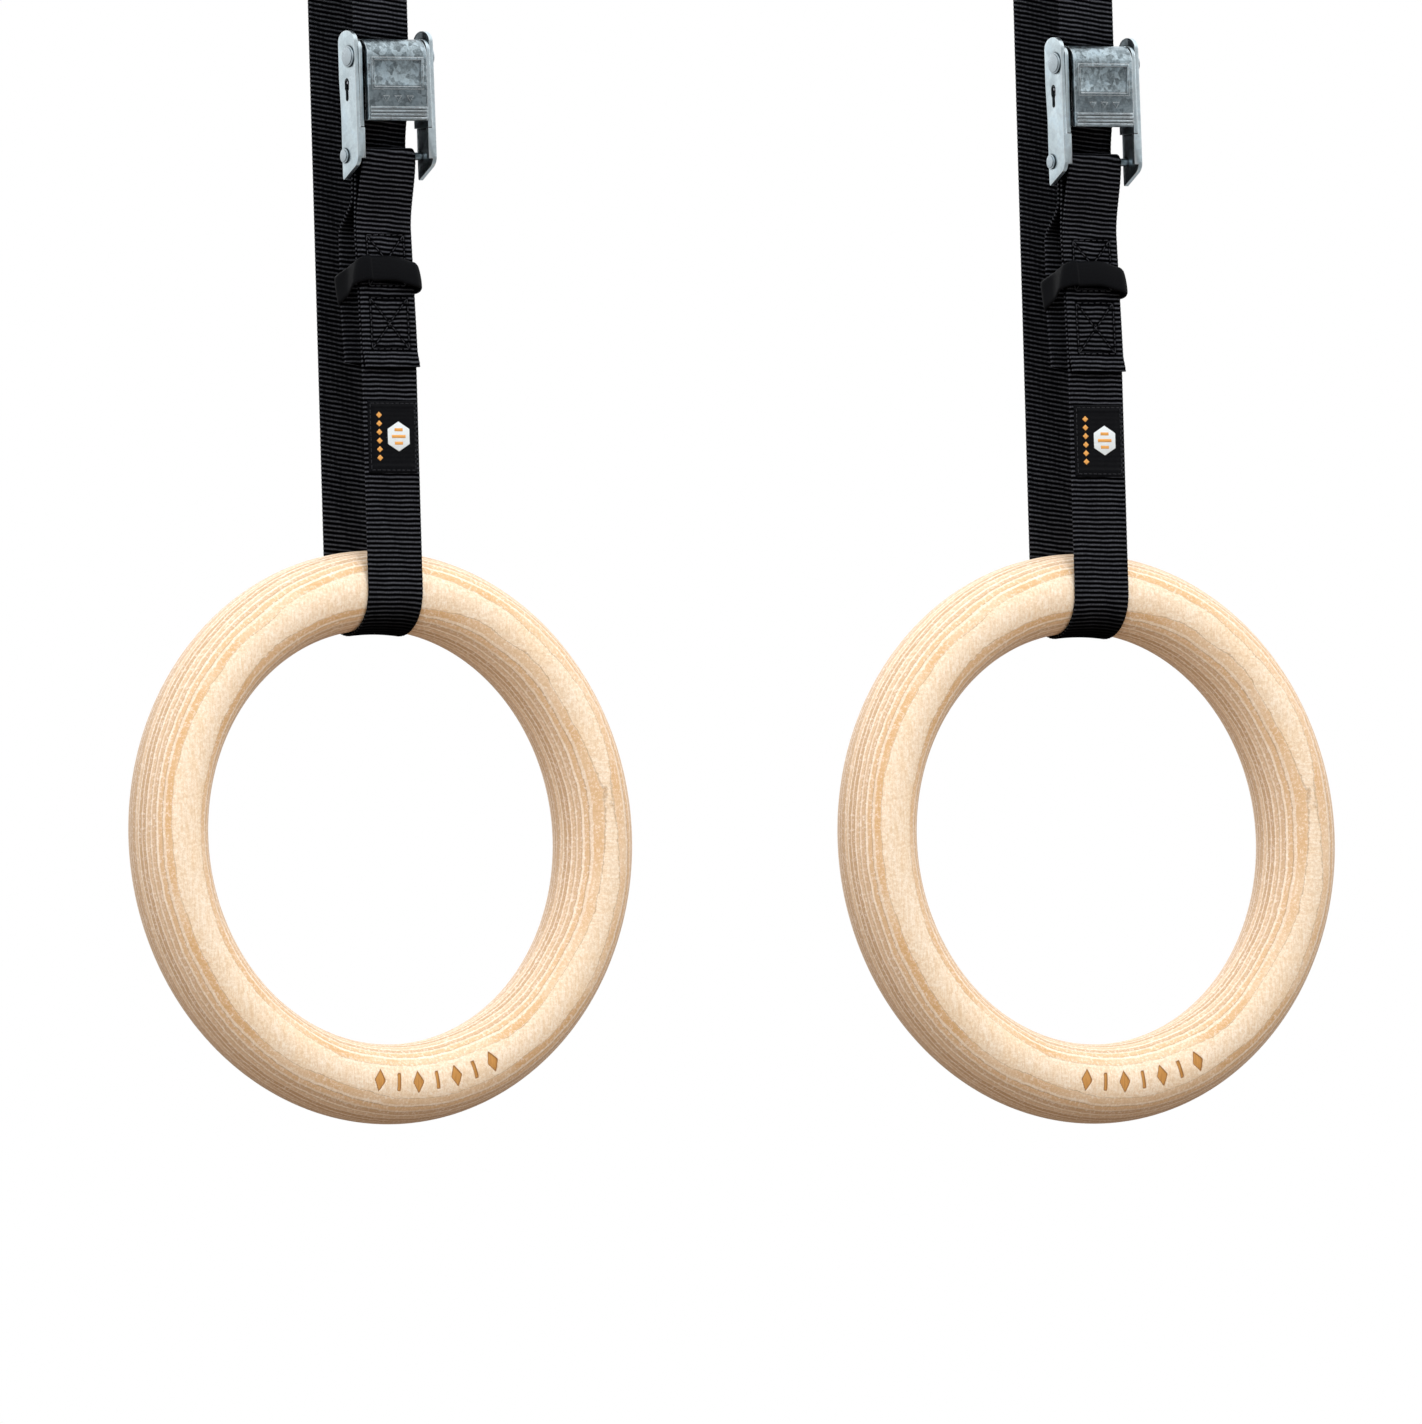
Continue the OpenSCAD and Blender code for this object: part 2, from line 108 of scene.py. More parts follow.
# ------------------------------------------------------------------ shader graphs
class Value:
    """One output of a shader node, usable in arithmetic."""

    def __init__(self, graph, socket):
        self.graph = graph
        self.socket = socket

    def sibling(self, output):
        """Another output of the same node."""
        return Value(self.graph, self.socket.node.outputs[output])

    def math(self, operation, *operands):
        return self.graph.math(operation, self, *operands)

    def __add__(self, other):
        return self.math("ADD", other)

    def __sub__(self, other):
        return self.math("SUBTRACT", other)

    def __rsub__(self, other):
        return self.graph.math("SUBTRACT", other, self)

    def __mul__(self, other):
        return self.math("MULTIPLY", other)

    def __truediv__(self, other):
        return self.math("DIVIDE", other)

    def __pow__(self, other):
        return self.math("POWER", other)

    def __abs__(self):
        return self.math("ABSOLUTE")

    def linear(self, gain, add):
        return self.math("MULTIPLY_ADD", gain, add)

    def wave(self, period):
        return (self * (2 * math.pi / period)).math("SINE")

    def clamped(self):
        """Limits this math node's result to 0..1."""
        self.socket.node.use_clamp = True
        return self

    def ramp(self, over, to=(0.0, 1.0), kind="SMOOTHSTEP"):
        inputs = {0: self, 1: over[0], 2: over[1], 3: to[0], 4: to[1]}
        return self.graph.node("MapRange", inputs, interpolation_type=kind)

    def between(self, low, high):
        """Colour that runs from low to high as this value runs from 0 to 1."""
        return self.graph.node("Mix", {0: self, 6: low, 7: high}, output=2, data_type="RGBA")

    def choose(self, low, high):
        return self.graph.node("Mix", {0: self, 2: low, 3: high}, data_type="FLOAT")

    def tint(self, colour, mask, strength=None):
        """This colour with another laid over it."""
        if strength is not None:
            mask = mask * strength
        return mask.between(self, colour)


class Graph:
    """Node tree of a material or a world."""

    def __init__(self, owner, output="OutputMaterial"):
        self.owner = owner
        owner.use_nodes = True
        self.tree = owner.node_tree
        self.tree.nodes.clear()
        self.output = self.tree.nodes.new("ShaderNode" + output)

    def put(self, socket, value):
        if isinstance(value, Value):
            self.tree.links.new(value.socket, socket)
        elif socket.type == "RGBA":
            socket.default_value = (*value, 1.0)
        else:
            socket.default_value = value

    def node(self, kind, inputs=None, output=0, **properties):
        node = self.tree.nodes.new("ShaderNode" + kind)
        for name, value in properties.items():
            setattr(node, name, value)
        for key, value in (inputs or {}).items():
            self.put(node.inputs[key], value)
        return Value(self, node.outputs[output])

    def math(self, operation, *operands):
        return self.node("Math", dict(enumerate(operands)), operation=operation)

    def split(self, vector):
        first = self.node("SeparateXYZ", {0: vector})
        return [first.sibling(axis) for axis in range(3)]

    def mapped(self, vector, stretch=(1, 1, 1)):
        return self.node("Mapping", {0: vector, 3: stretch})

    def coords(self, kind):
        return self.mapped(self.node("TexCoord", output=kind))

    def attribute(self, name, output="Fac"):
        return self.node("Attribute", output=output, attribute_name=name)

    def noise(self, vector, stretch=None, scale=1.0, detail=2.0, rough=0.5):
        if stretch is not None:
            vector = self.mapped(vector, stretch)
        inputs = {"Vector": vector, "Scale": scale, "Detail": detail, "Roughness": rough}
        return self.node("TexNoise", inputs, output="Fac")

    def occlusion(self, distance, samples):
        """Ambient occlusion, 1 where nothing is within the distance in metres."""
        inputs = {"Distance": distance}
        return self.node("AmbientOcclusion", inputs, output="AO", samples=samples)

    def bump(self, height, distance, strength):
        inputs = {"Height": height, "Distance": distance, "Strength": strength}
        return self.node("Bump", inputs)

    def finish(self, shader):
        self.put(self.output.inputs[0], shader)
        return self.owner

    def principled(self, colour, rough, bump, metal=0.0, specular=0.5):
        return self.finish(self.node("BsdfPrincipled", {
            "Base Color": colour,
            "Roughness": rough,
            "Metallic": metal,
            "Specular IOR Level": specular,
            "Sheen Roughness": 0.4,
            "Normal": bump,
        }))


def new_material(name):
    return Graph(bpy.data.materials.new(name))


# ------------------------------------------------------------------ materials
# UV maps are in millimetres: U along a strip, V across it. Object coordinates, bump and
# occlusion distances are in metres.
def make_webbing():
    yarn_pitch = 0.52
    yarn_wander = 5.0      # radians
    g = new_material("webbing")
    uv = g.coords("UV")
    across = g.split(uv)[1]
    rib = g.attribute("rib")
    # warp yarns run along the strap; each shows as a fine line over the rib crests
    wobble = g.noise(uv, stretch=(0.35, 1.1, 1))
    phase = across * (2 * math.pi / yarn_pitch) + wobble * yarn_wander
    yarn = phase.math("SINE").linear(gain=0.5, add=0.5)
    fuzz = g.noise(uv, stretch=(1.6, 5.0, 1), detail=4.0, rough=0.65)
    broad = g.noise(uv, stretch=(0.035, 0.12, 1))
    # painted highlight: the rib crests are coloured lighter than the grooves, as if lit
    crest_highlight = rib ** 7.5     # narrows the lit part of each rib
    grain = g.noise(uv, stretch=(0.9, 1.5, 1), detail=3.0, rough=0.7)
    tone = crest_highlight * yarn.linear(gain=0.6, add=0.45)
    tone = tone * fuzz.linear(gain=0.9, add=0.55)
    tone = tone * grain.linear(gain=2.2, add=-0.15)
    tone = (tone * broad.linear(gain=0.7, add=0.65)).clamped()
    # painted shade: undersides, by the way they face, and covered places, by occlusion, are
    # darkened to black
    facing_up = g.split(g.node("NewGeometry", output="Normal"))[2]
    tone = tone * facing_up.ramp(over=(-0.95, -0.05), to=(0.05, 1.0))
    open_air = g.occlusion(distance=0.010, samples=6)
    tone = tone * open_air.ramp(over=(0.45, 0.88), to=(0.02, 1.0))
    # colour runs from black grooves to the painted highlight on the crests; the yarn, fuzz and
    # grain noise are the weave's own texture
    colour = tone.between(low=(0.0004, 0.0004, 0.0006), high=(0.082, 0.087, 0.102))
    height = yarn * 0.6 + fuzz * 0.5    # weights of yarns and fuzz
    return g.principled(
        colour,
        rough=fuzz.linear(gain=0.2, add=0.62),
        bump=g.bump(height, distance=0.00006, strength=0.8),
        specular=tone * 0.20,           # fades with the tone
    )


def make_wood():
    """Birch plywood: a stack of plies parallel to the ring's plane, and burnt marks."""
    # depths below the nearer face of the board, mm
    face_glue = 1.12
    first_ply, ply = 2.5, 1.95
    veneer_share = 0.36    # part of each inner ply where the veneer ends
    pale, warm = (0.925, 0.785, 0.62), (0.84, 0.64, 0.435)
    honey, gold = (0.87, 0.63, 0.38), (0.66, 0.365, 0.135)
    tan, brown = (0.82, 0.61, 0.42), (0.50, 0.305, 0.17)
    amber, cream = (0.76, 0.47, 0.22), (0.94, 0.80, 0.65)
    end_brown, glue_brown = (0.55, 0.35, 0.20), (0.34, 0.19, 0.095)
    speck_dark, speck_light = (0.60, 0.40, 0.21), (0.98, 0.89, 0.78)
    pore_brown, scorched = (0.55, 0.34, 0.17), (0.22, 0.095, 0.028)
    char_dark, char_light = (0.46, 0.215, 0.055), (0.60, 0.30, 0.085)

    g = new_material("birch")
    # position about the ring's own centre, mm
    place = g.attribute("local", output="Vector")
    x, y, z = g.split(place)
    drift = g.noise(place, stretch=(0.013, 0.02, 0.013))
    ripple = g.noise(place, stretch=(0.16, 0.1, 0.16), detail=4.0, rough=0.6)
    wander = drift.linear(gain=4.0, add=-2.0) + ripple.linear(gain=0.7, add=-0.35)
    depth = TUBE_R - abs(y + wander)
    radius = (x * x + z * z).math("SQRT")
    along_x = (x / radius) ** 2.0
    along_z = (z / radius) ** 2.0

    # face ply, one golden ply, then a light veneer and a browner ply in turn
    count = (depth - first_ply) / ply
    index = count.math("FLOOR")
    part = count.math("FRACT")
    odd = abs(index.math("MODULO", 2.0))
    chance = g.node(
        "TexWhiteNoise", {"W": index + y.math("SIGN")}, output="Value", noise_dimensions="1D"
    )
    inner = depth.ramp(over=(2.4, 2.6))
    patchy = g.noise(place, stretch=(0.022, 0.02, 0.022), rough=0.6)
    patchy = patchy.ramp(over=(0.36, 0.60), to=(0.45, 1.0))
    golden = depth.ramp(over=(1.05, 1.30)) * (1.0 - inner) * patchy
    veneer = part.ramp(over=(0.30, 0.42), to=(1.0, 0.0))
    end_grain = (inner * odd.choose(along_x, along_z)).clamped()

    # fibres along X in one ply and along Z in the next
    fibre_x = g.noise(place, stretch=(0.16, 0.9, 1.3), detail=4.0, rough=0.65)
    fibre_z = g.noise(place, stretch=(1.3, 0.9, 0.16), detail=4.0, rough=0.65)
    fibre = odd.choose(fibre_z, fibre_x)
    blotch = g.noise(place, stretch=(0.045, 0.15, 0.03), detail=3.0, rough=0.6)
    blotch = blotch.ramp(over=(0.50, 0.72))
    speck = g.noise(place, scale=0.85, detail=3.0, rough=0.8)
    pores = g.noise(place, stretch=(2.0, 2.0, 0.8), detail=3.0, rough=0.7)
    pores = pores.ramp(over=(0.57, 0.74))

    face = fibre.ramp(over=(0.35, 0.68)).between(pale, warm)
    face = face.tint(honey, blotch, strength=0.45)
    face = face.tint(gold, golden * fibre.ramp(over=(0.25, 0.65), to=(1.0, 0.62)))
    core = chance.linear(gain=0.75, add=0.12).between(tan, brown)
    outermost = depth.ramp(over=(4.0, 5.4), to=(0.75, 0.0))
    core = core.tint(amber, outermost * fibre.ramp(over=(0.3, 0.62), to=(1.0, 0.45)))
    core = core.tint(cream, veneer, strength=0.85)
    colour = face.tint(core, inner, strength=0.94)
    colour = colour.tint(end_brown, end_grain, strength=0.24)

    glue = inner * abs(part - veneer_share).ramp(over=(0.0, 0.12), to=(1.0, 0.0))
    face_line = abs(depth - face_glue).ramp(over=(0.0, 0.10), to=(1.0, 0.0))
    glue = glue.math("MAXIMUM", face_line)
    glue_line = (glue * ripple.linear(gain=1.1, add=0.1)).clamped()
    colour = colour.tint(glue_brown, glue_line, strength=0.78)
    colour = colour.tint(speck_dark, speck.ramp(over=(0.34, 0.56), to=(0.34, 0.0)))
    colour = colour.tint(speck_light, speck.ramp(over=(0.50, 0.68), to=(0.0, 0.60)))
    colour = colour.tint(pore_brown, pores, strength=0.30)

    burn = g.attribute("burn")
    mask = burn.ramp(over=(0.35, 0.62))
    rim = burn.ramp(over=(0.30, 0.55)) * burn.ramp(over=(0.62, 0.95), to=(1.0, 0.0))
    char = fibre.ramp(over=(0.3, 0.7)).between(char_dark, char_light)
    colour = colour.tint(char, mask)
    colour = colour.tint(scorched, rim, strength=0.75)

    height = fibre * 0.5 + speck * 0.9 + glue * -0.5    # glue lines sink
    return g.principled(
        colour,
        rough=fibre.linear(gain=0.25, add=0.42),
        bump=g.bump(height, distance=0.00010, strength=0.8),
        specular=0.22,
    )


def make_metal(name, base, rough, mottle, grain, bump, edge=0.0, dark_band=None):
    """Mottled metal. grain is the fine noise's scale, edge the brightness of the painted highlight
    on edges and dark_band a (foot, top) range of Z that is darker."""
    shadow, crevice_shade = (0.02, 0.024, 0.03), (0.015, 0.018, 0.022)
    band_grey, edge_highlight = (0.13, 0.155, 0.17), (0.93, 0.985, 1.0)
    band_blur = 0.0002
    dark = tuple(part * (1 - mottle * 0.85) for part in base)
    light = tuple(min(1.0, part * (1 + mottle * 0.35)) for part in base)
    bluish = (base[0] * 0.82, base[1] * 0.93, base[2] * 1.04)

    g = new_material(name)
    flat = g.node("NewGeometry", output="True Normal")
    rounded = g.node("Bevel", {"Radius": 0.00055}, samples=6)
    alike = g.node(
        "VectorMath", {0: rounded, 1: flat}, output="Value", operation="DOT_PRODUCT"
    )
    # painted highlight on the edges, found from the rounded normal
    rim = alike.ramp(over=(0.80, 0.985), to=(edge, 0.0))
    place = g.coords("Object")
    broad = g.noise(place, scale=160.0, detail=3.0, rough=0.6)
    fine = g.noise(place, scale=grain, detail=4.0, rough=0.7)
    cells = g.node("TexVoronoi", {"Vector": place, "Scale": grain * 0.6}, output="Color")
    cell = g.node("SeparateColor", {0: cells})
    scratch = g.noise(place, stretch=(260, 900, 2600), detail=3.0, rough=0.6)

    # weights of fine grain, cells and broad clouds
    spots = fine * mottle + cell * (mottle * 0.45) + broad * 0.25
    spots = spots.ramp(over=(mottle * 0.45 + 0.05, mottle * 0.95 + 0.2))
    colour = spots.between(dark, light)
    colour = colour.tint(bluish, broad.ramp(over=(0.45, 0.7)), strength=0.25)
    # painted shade: colour darkened towards shadow where other parts are within 10 mm
    around = g.occlusion(distance=0.010, samples=8)
    colour = colour.tint(shadow, around.ramp(over=(0.20, 0.80), to=(0.80, 0.0)))
    if dark_band:
        foot, top = dark_band
        z = g.split(place)[2]
        above = z.ramp(over=(foot - band_blur, foot + band_blur))
        below = z.ramp(over=(top - band_blur, top + band_blur), to=(1.0, 0.0))
        colour = colour.tint(band_grey, above * below, strength=0.55)
    # painted shade: colour darkened in crevices, where parts are within 1.5 mm
    near = g.occlusion(distance=0.0015, samples=8)
    colour = colour.tint(crevice_shade, near.ramp(over=(0.45, 0.92), to=(0.85, 0.0)))
    # painted highlight laid over the edges
    colour = colour.tint(edge_highlight, rim)
    height = fine * 1.0 + scratch * 0.35                # weights of grain and scratches
    return g.principled(
        colour,
        rough=fine.linear(gain=0.16, add=rough) + scratch * 0.08,
        bump=g.bump(height, distance=bump, strength=0.7),
        metal=1.0,
    )


def make_elastic():
    g = new_material("elastic")
    uv = g.coords("UV")
    along, across, _ = g.split(uv)
    wale = across.wave(period=0.62)
    course = along.wave(period=0.5)
    fuzz = g.noise(uv, stretch=(2.5, 2.5, 1), detail=3.0, rough=0.6)
    height = wale * 0.5 + (course * 0.22 + fuzz)        # weights of the knit's two waves
    tone = height.linear(gain=0.3, add=0.35).clamped()
    colour = tone.between(low=(0.0008, 0.0009, 0.0012), high=(0.0042, 0.0046, 0.0060))
    bump = g.bump(height, distance=0.00004, strength=0.6)
    return g.principled(colour, rough=0.65, bump=bump, specular=0.07)


def make_thread():
    g = new_material("thread")
    place = g.coords("Object")
    x, _, z = g.split(place)
    twist = (x + z).wave(period=0.9 * MM)
    fuzz = g.noise(place, scale=3000.0)
    tone = (twist.linear(gain=0.3, add=0.3) + fuzz * 0.5).clamped()
    colour = tone.between(low=(0.003, 0.003, 0.004), high=(0.036, 0.038, 0.045))
    bump = g.bump(twist, distance=0.00004, strength=0.6)
    return g.principled(colour, rough=0.45, bump=bump, specular=0.2)


def make_weave(name, low, high, specular=0.35):
    """Satin weave: short floats stepping across."""
    pitch, float_length = 0.28, 1.4
    row_step = 0.4         # shift from row to row, in floats
    g = new_material(name)
    uv = g.coords("UV")
    along, across, _ = g.split(uv)
    row = (across / pitch).math("FLOOR")
    shift = (row * row_step).math("FRACT") * float_length
    floats = (along + shift).wave(float_length)
    rows = across.wave(pitch)
    clouds = g.noise(uv, stretch=(0.5, 0.5, 1), detail=3.0)
    height = rows.linear(gain=0.35, add=0.35) + floats * 0.2
    tone = (height * 0.5 + clouds * 0.5).clamped()      # weave and clouds count equally
    bump = g.bump(height, distance=0.00005, strength=0.7)
    return g.principled(tone.between(low, high), rough=0.42, bump=bump, specular=specular)


WEBBING = make_webbing()
BIRCH = make_wood()
ZINC = make_metal(
    "zinc", (0.78, 0.90, 0.955), rough=0.19, mottle=0.20, grain=900.0, bump=0.00001, edge=0.85
)
CASTING = make_metal(
    "zinc_casting", (0.46, 0.55, 0.59), rough=0.21, mottle=0.75, grain=900.0, bump=0.00009,
    edge=1.0, dark_band=(-0.1186, -0.1102),
)
PIN_STEEL = make_metal(
    "pin_steel", (0.62, 0.70, 0.74), rough=0.18, mottle=0.14, grain=1400.0, bump=0.00001
)
SPRING_STEEL = make_metal(
    "spring_steel", (0.42, 0.43, 0.46), rough=0.26, mottle=0.25, grain=1200.0, bump=0.00001
)
ELASTIC = make_elastic()
THREAD = make_thread()
LABEL_MATERIALS = [
    make_weave("label_cloth", (0.0008, 0.0009, 0.0013), (0.0042, 0.0046, 0.0065), specular=0.07),
    make_weave("label_white", (0.62, 0.68, 0.70), (0.86, 0.90, 0.91)),
    make_weave("label_orange", (0.62, 0.27, 0.05), (0.92, 0.46, 0.12)),
]
CLOTH, WHITE, ORANGE = range(3)         # places in the list above


# ------------------------------------------------------------------ mesh helpers
def to_world(tag, x, out, up):
    """Millimetres of one set to the scene's metres."""
    x, out, up = np.broadcast_arrays(x, out, up)
    return np.stack([(x + SIDES[tag] * SPREAD) * MM, -out * MM, (up - BAR_UP) * MM], -1)


def from_world(tag, points):
    x = points[:, 0] / MM - SIDES[tag] * SPREAD
    return x, -points[:, 1] / MM, points[:, 2] / MM + BAR_UP


def build(name, points, faces, materials, uv=None, attributes=None, face_materials=None):
    mesh = bpy.data.meshes.new(name)
    mesh.from_pydata(points.reshape(-1, 3).tolist(), [], faces)
    if uv is not None:
        layer = mesh.uv_layers.new(name="UVMap")
        corners = np.empty(len(mesh.loops), np.int32)
        mesh.loops.foreach_get("vertex_index", corners)
        flat = np.asarray(uv, np.float32).reshape(-1, 2)[corners].ravel()
        layer.data.foreach_set("uv", flat)
    for key, values in (attributes or {}).items():
        values = np.asarray(values, np.float32)
        if values.ndim == 1:
            mesh.attributes.new(key, "FLOAT", "POINT").data.foreach_set("value", values)
        else:
            layer = mesh.attributes.new(key, "FLOAT_VECTOR", "POINT")
            layer.data.foreach_set("vector", values.ravel())
    for material in materials:
        mesh.materials.append(material)
    if face_materials is not None:
        mesh.polygons.foreach_set("material_index", np.asarray(face_materials, np.int32))
    mesh.polygons.foreach_set("use_smooth", np.full(len(mesh.polygons), True))
    mesh.validate()
    mesh.update()
    piece = bpy.data.objects.new(name, mesh)
    bpy.context.scene.collection.objects.link(piece)
    # turn every face outwards
    shell = bmesh.new()
    shell.from_mesh(mesh)
    bmesh.ops.recalc_face_normals(shell, faces=shell.faces)
    shell.to_mesh(mesh)
    shell.free()
    mesh.update()
    return piece


def get_points(mesh):
    points = np.empty(len(mesh.vertices) * 3, np.float32)
    mesh.vertices.foreach_get("co", points)
    return points.reshape(-1, 3)


def set_points(mesh, points):
    mesh.vertices.foreach_set("co", points.astype(np.float32).ravel())
    mesh.update()


def wrap(face, back):
    """Rows that go across the face and return over the back, sharing the two edges."""
    return np.concatenate([face, back[:, 1:-1][:, ::-1]], 1)


def skin(rows, columns, closed):
    """Quads over rows of closed sections; closed joins the last row to the first."""
    i, j = np.meshgrid(np.arange(rows if closed else rows - 1), np.arange(columns), indexing="ij")
    i_next, j_next = (i + 1) % rows, (j + 1) % columns
    quads = [i * columns + j, i * columns + j_next, i_next * columns + j_next, i_next * columns + j]
    return np.stack(quads, -1).reshape(-1, 4)


def smooth(t):
    t = np.clip(t, 0, 1)
    return t * t * (3 - 2 * t)


def distances(path):
    """Length along a path at each of its points."""
    return np.r_[0, np.cumsum(np.hypot(*np.diff(path, axis=0).T))]


# paths are dense arrays of (out, up)
def upright(out, start, end):
    count = max(2, int(abs(end - start) / PATH_STEP))
    up = start + (end - start) * np.linspace(0, 1, count + 1)
    return np.stack([np.full_like(up, out), up], -1)


def arc(out, up, radius, start, end):
    """Arc about (out, up); angles in degrees, 0 at the front and 90 at the top."""
    count = max(4, int(abs(math.radians(end - start)) * radius / PATH_STEP))
    angle = np.radians(np.linspace(start, end, count + 1))
    return np.stack([out + radius * np.cos(angle), up + radius * np.sin(angle)], -1)


def even(path):
    """The same path with evenly spaced points."""
    run = distances(path)
    along = np.linspace(0, run[-1], int(run[-1] / PATH_STEP) + 1)
    return np.stack([np.interp(along, run, path[:, 0]), np.interp(along, run, path[:, 1])], -1)


# ------------------------------------------------------------------ links to the CAD bodies
def at(tag, up):
    return (SIDES[tag] * SPREAD * MM, 0, (up - BAR_UP) * MM)


def bends(piece, tag, replaced, start, end):
    """Hides the replaced CAD body and fixes the piece in place, tied to no body; start and end have
    no effect.
    """
    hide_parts(f"{tag}_{replaced}")
    at(tag, start)
    at(tag, end)
    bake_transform(piece)


def rides(piece, tag, replaced, body):
    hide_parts(f"{tag}_{replaced}")
    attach(piece, f"{tag}_{body}")


# ------------------------------------------------------------------ webbing
def ribbon(tag, name, path, start, rate, skew, columns=12, slant=0.0):
    """Woven webbing along a path.

    The rib phase is start + rate * length along, in mm. skew(along, length) is how far
    the ribs lie off square. slant cuts the far end askew, in mm at each edge.
    """
    half_width, half_thick = WEB_W / 2, WEB_T / 2
    flat_half = half_width - SELVEDGE_R
    run = distances(path)
    length = run[-1]
    count = max(2, int(round(length / (RIB_PITCH / 8))))
    tangent = np.gradient(path, run, axis=0)
    tangent /= np.linalg.norm(tangent, axis=1)[:, None]

    # columns, closer together at the rounded selvedges
    edge = flat_half + SELVEDGE_R * np.sin(np.linspace(0, math.pi / 2, 5))
    xs = np.r_[-edge[::-1][:-1], np.linspace(-flat_half, flat_half, columns), edge[1:]]
    past = (np.abs(xs) - flat_half) / SELVEDGE_R
    rounded = np.sqrt(np.clip(1 - past ** 2, 0, 1))
    thick = np.where(np.abs(xs) > flat_half, rounded, 1.0) * half_thick

    x, along = np.meshgrid(xs, np.linspace(0, length, count + 1))
    slant_length = 28
    turn = smooth((along - (length - slant_length)) / slant_length) if slant else 0.0
    along = np.clip(along + slant * x / half_width * turn, 0, length + abs(slant))
    path_out = np.interp(along, run, path[:, 0])
    path_up = np.interp(along, run, path[:, 1])
    tangent_out = np.interp(along, run, tangent[:, 0])
    tangent_up = np.interp(along, run, tangent[:, 1])
    beyond = np.maximum(along - length, 0)
    path_out = path_out + tangent_out * beyond
    path_up = path_up + tangent_up * beyond

    phase = start + rate * along + skew(along, length) * x
    # ribs wander a little across the width
    wobble = 0.09 * np.sin(x * 0.31 + phase * 0.11 + SIDES[tag])
    wobble += 0.06 * np.sin(x * 0.83 + phase * 0.37)
    wobble *= smooth((half_width - np.abs(x)) / 4.0)
    rib = np.abs(np.sin(np.pi * (phase + wobble) / RIB_PITCH)) ** 0.72
    groove, least = 0.40, 0.02
    lift = thick - groove * (1 - rib) * np.minimum(1, thick / half_thick + 0.15)
    lift = np.maximum(lift, least * (np.abs(x) < half_width - 1e-6))

    # the face looks to the front where the path runs upward
    face = to_world(tag, x, path_out + tangent_up * lift, path_up - tangent_out * lift)
    back = to_world(tag, x, path_out - tangent_up * lift, path_up + tangent_out * lift)
    points = wrap(face, back)
    rows, around = points.shape[:2]
    faces = skin(rows, around, closed=False).tolist()
    faces.append(list(range(around - 1, -1, -1)))
    faces.append([(rows - 1) * around + j for j in range(around)])
    uv = np.stack([wrap(phase, phase), wrap(x, x + BACK_SHIFT)], -1)
    ribs = {"rib": wrap(rib, rib).ravel()}
    piece = build(f"{tag}_web_{name}", points, faces, [WEBBING], uv, ribs)
    return piece


def skew_between(start, end):
    return lambda along, length: start + (end - start) * along / length


def front_skew(up):
    return 0.015 + 0.065 * smooth((up - 212) / 26) + 0.047 * smooth((up - 250) / 70)


def rear_skew(up):
    return 0.09 + 0.07 * smooth((up - 110) / 50)


def sewn_out(up):
    """The sewn strap on its way up to the pin."""
    leant = MID_OUT - LEAN
    low = MID_OUT - LEAN * np.clip((up - LEAN_UP) / (DIP_UP - LEAN_UP), 0, 1)
    high = leant + (PIN_OUT - WRAP_R - leant) * smooth((up - DIP_UP) / (PIN_UP - DIP_UP))
    return np.where(up < DIP_UP, low, high)


def fold_out(up):
    """The fold that comes down from the pin in front of the sewn strap."""
    leant = MID_OUT - LEAN + WEB_T + LAYER_GAP
    high = leant + (PIN_OUT + WRAP_R - leant) * smooth((up - DIP_UP) / (PIN_UP - DIP_UP))
    return np.where(up < DIP_UP, sewn_out(up) + WEB_T + LAYER_GAP, high)


def adjust_out(up):
    """The front strap, its adjusting part and the tail."""
    rise = smooth((up - FRONT_UP) / (BAR_UP - FRONT_UP))
    high = ADJUST_OUT + (MID_OUT - ADJUST_OUT) * rise
    low = ADJUST_OUT
    for top, length, move in TAIL_BENDS:
        low = low + move * smooth((top - up) / length)
    return np.where(up > EXIT_UP, high, low)


HALF_TURN = math.pi * MID_OUT
TURN_RATE = round(HALF_TURN / RIB_PITCH) * RIB_PITCH / HALF_TURN   # whole ribs in a half turn


def make_bar_loop(tag):
    path = arc(0, BAR_UP, MID_OUT, 0, 180)
    piece = ribbon(tag, "bar_loop", path, BAR_UP, TURN_RATE, skew_between(0.127, 0.16))
    top = BAR_UP + RUN_OUT + WEB_T
    bends(piece, tag, "bar_loop", top, BAR_UP)


def make_front_straps(tag):
    """Front strap, adjusting strap and tail, one below another with the ribs running on."""
    # name, top, foot, slant of the far end
    parts = [
        ("front_strap", BAR_UP, FRONT_UP, 0.0),
        ("adjust_strap", FRONT_UP, BOW_UP, 0.0),
        ("tail_strap", BOW_UP, TAIL_UP, 2.2),
    ]
    used = 0.0
    for name, top, foot, slant in parts:
        up = np.linspace(top, foot, int((top - foot) / PATH_STEP) + 1)
        path = even(np.stack([adjust_out(up), up], -1))

        def skew(along, length, top=top, foot=foot):
            return front_skew(top - along * (top - foot) / length)

        piece = ribbon(tag, name, path, BAR_UP - used, -1, skew, columns=14, slant=slant)
        used += distances(path)[-1]
        if name == "front_strap":
            bends(piece, tag, name, top, foot)
        elif name == "adjust_strap":
            rides(piece, tag, name, "carrier")
        else:
            bends(piece, tag, name, top, foot)


def make_upright(tag, name, out, foot, top, skew):
    return ribbon(tag, name, upright(out, foot, top), foot, 1, skew)


def make_rear_strap(tag):
    piece = make_upright(
        tag, "rear", -MID_OUT, SPLIT_UP, BAR_UP, lambda along, _: rear_skew(SPLIT_UP + along)
    )
    bends(piece, tag, "rear_strap", BAR_UP, SPLIT_UP)


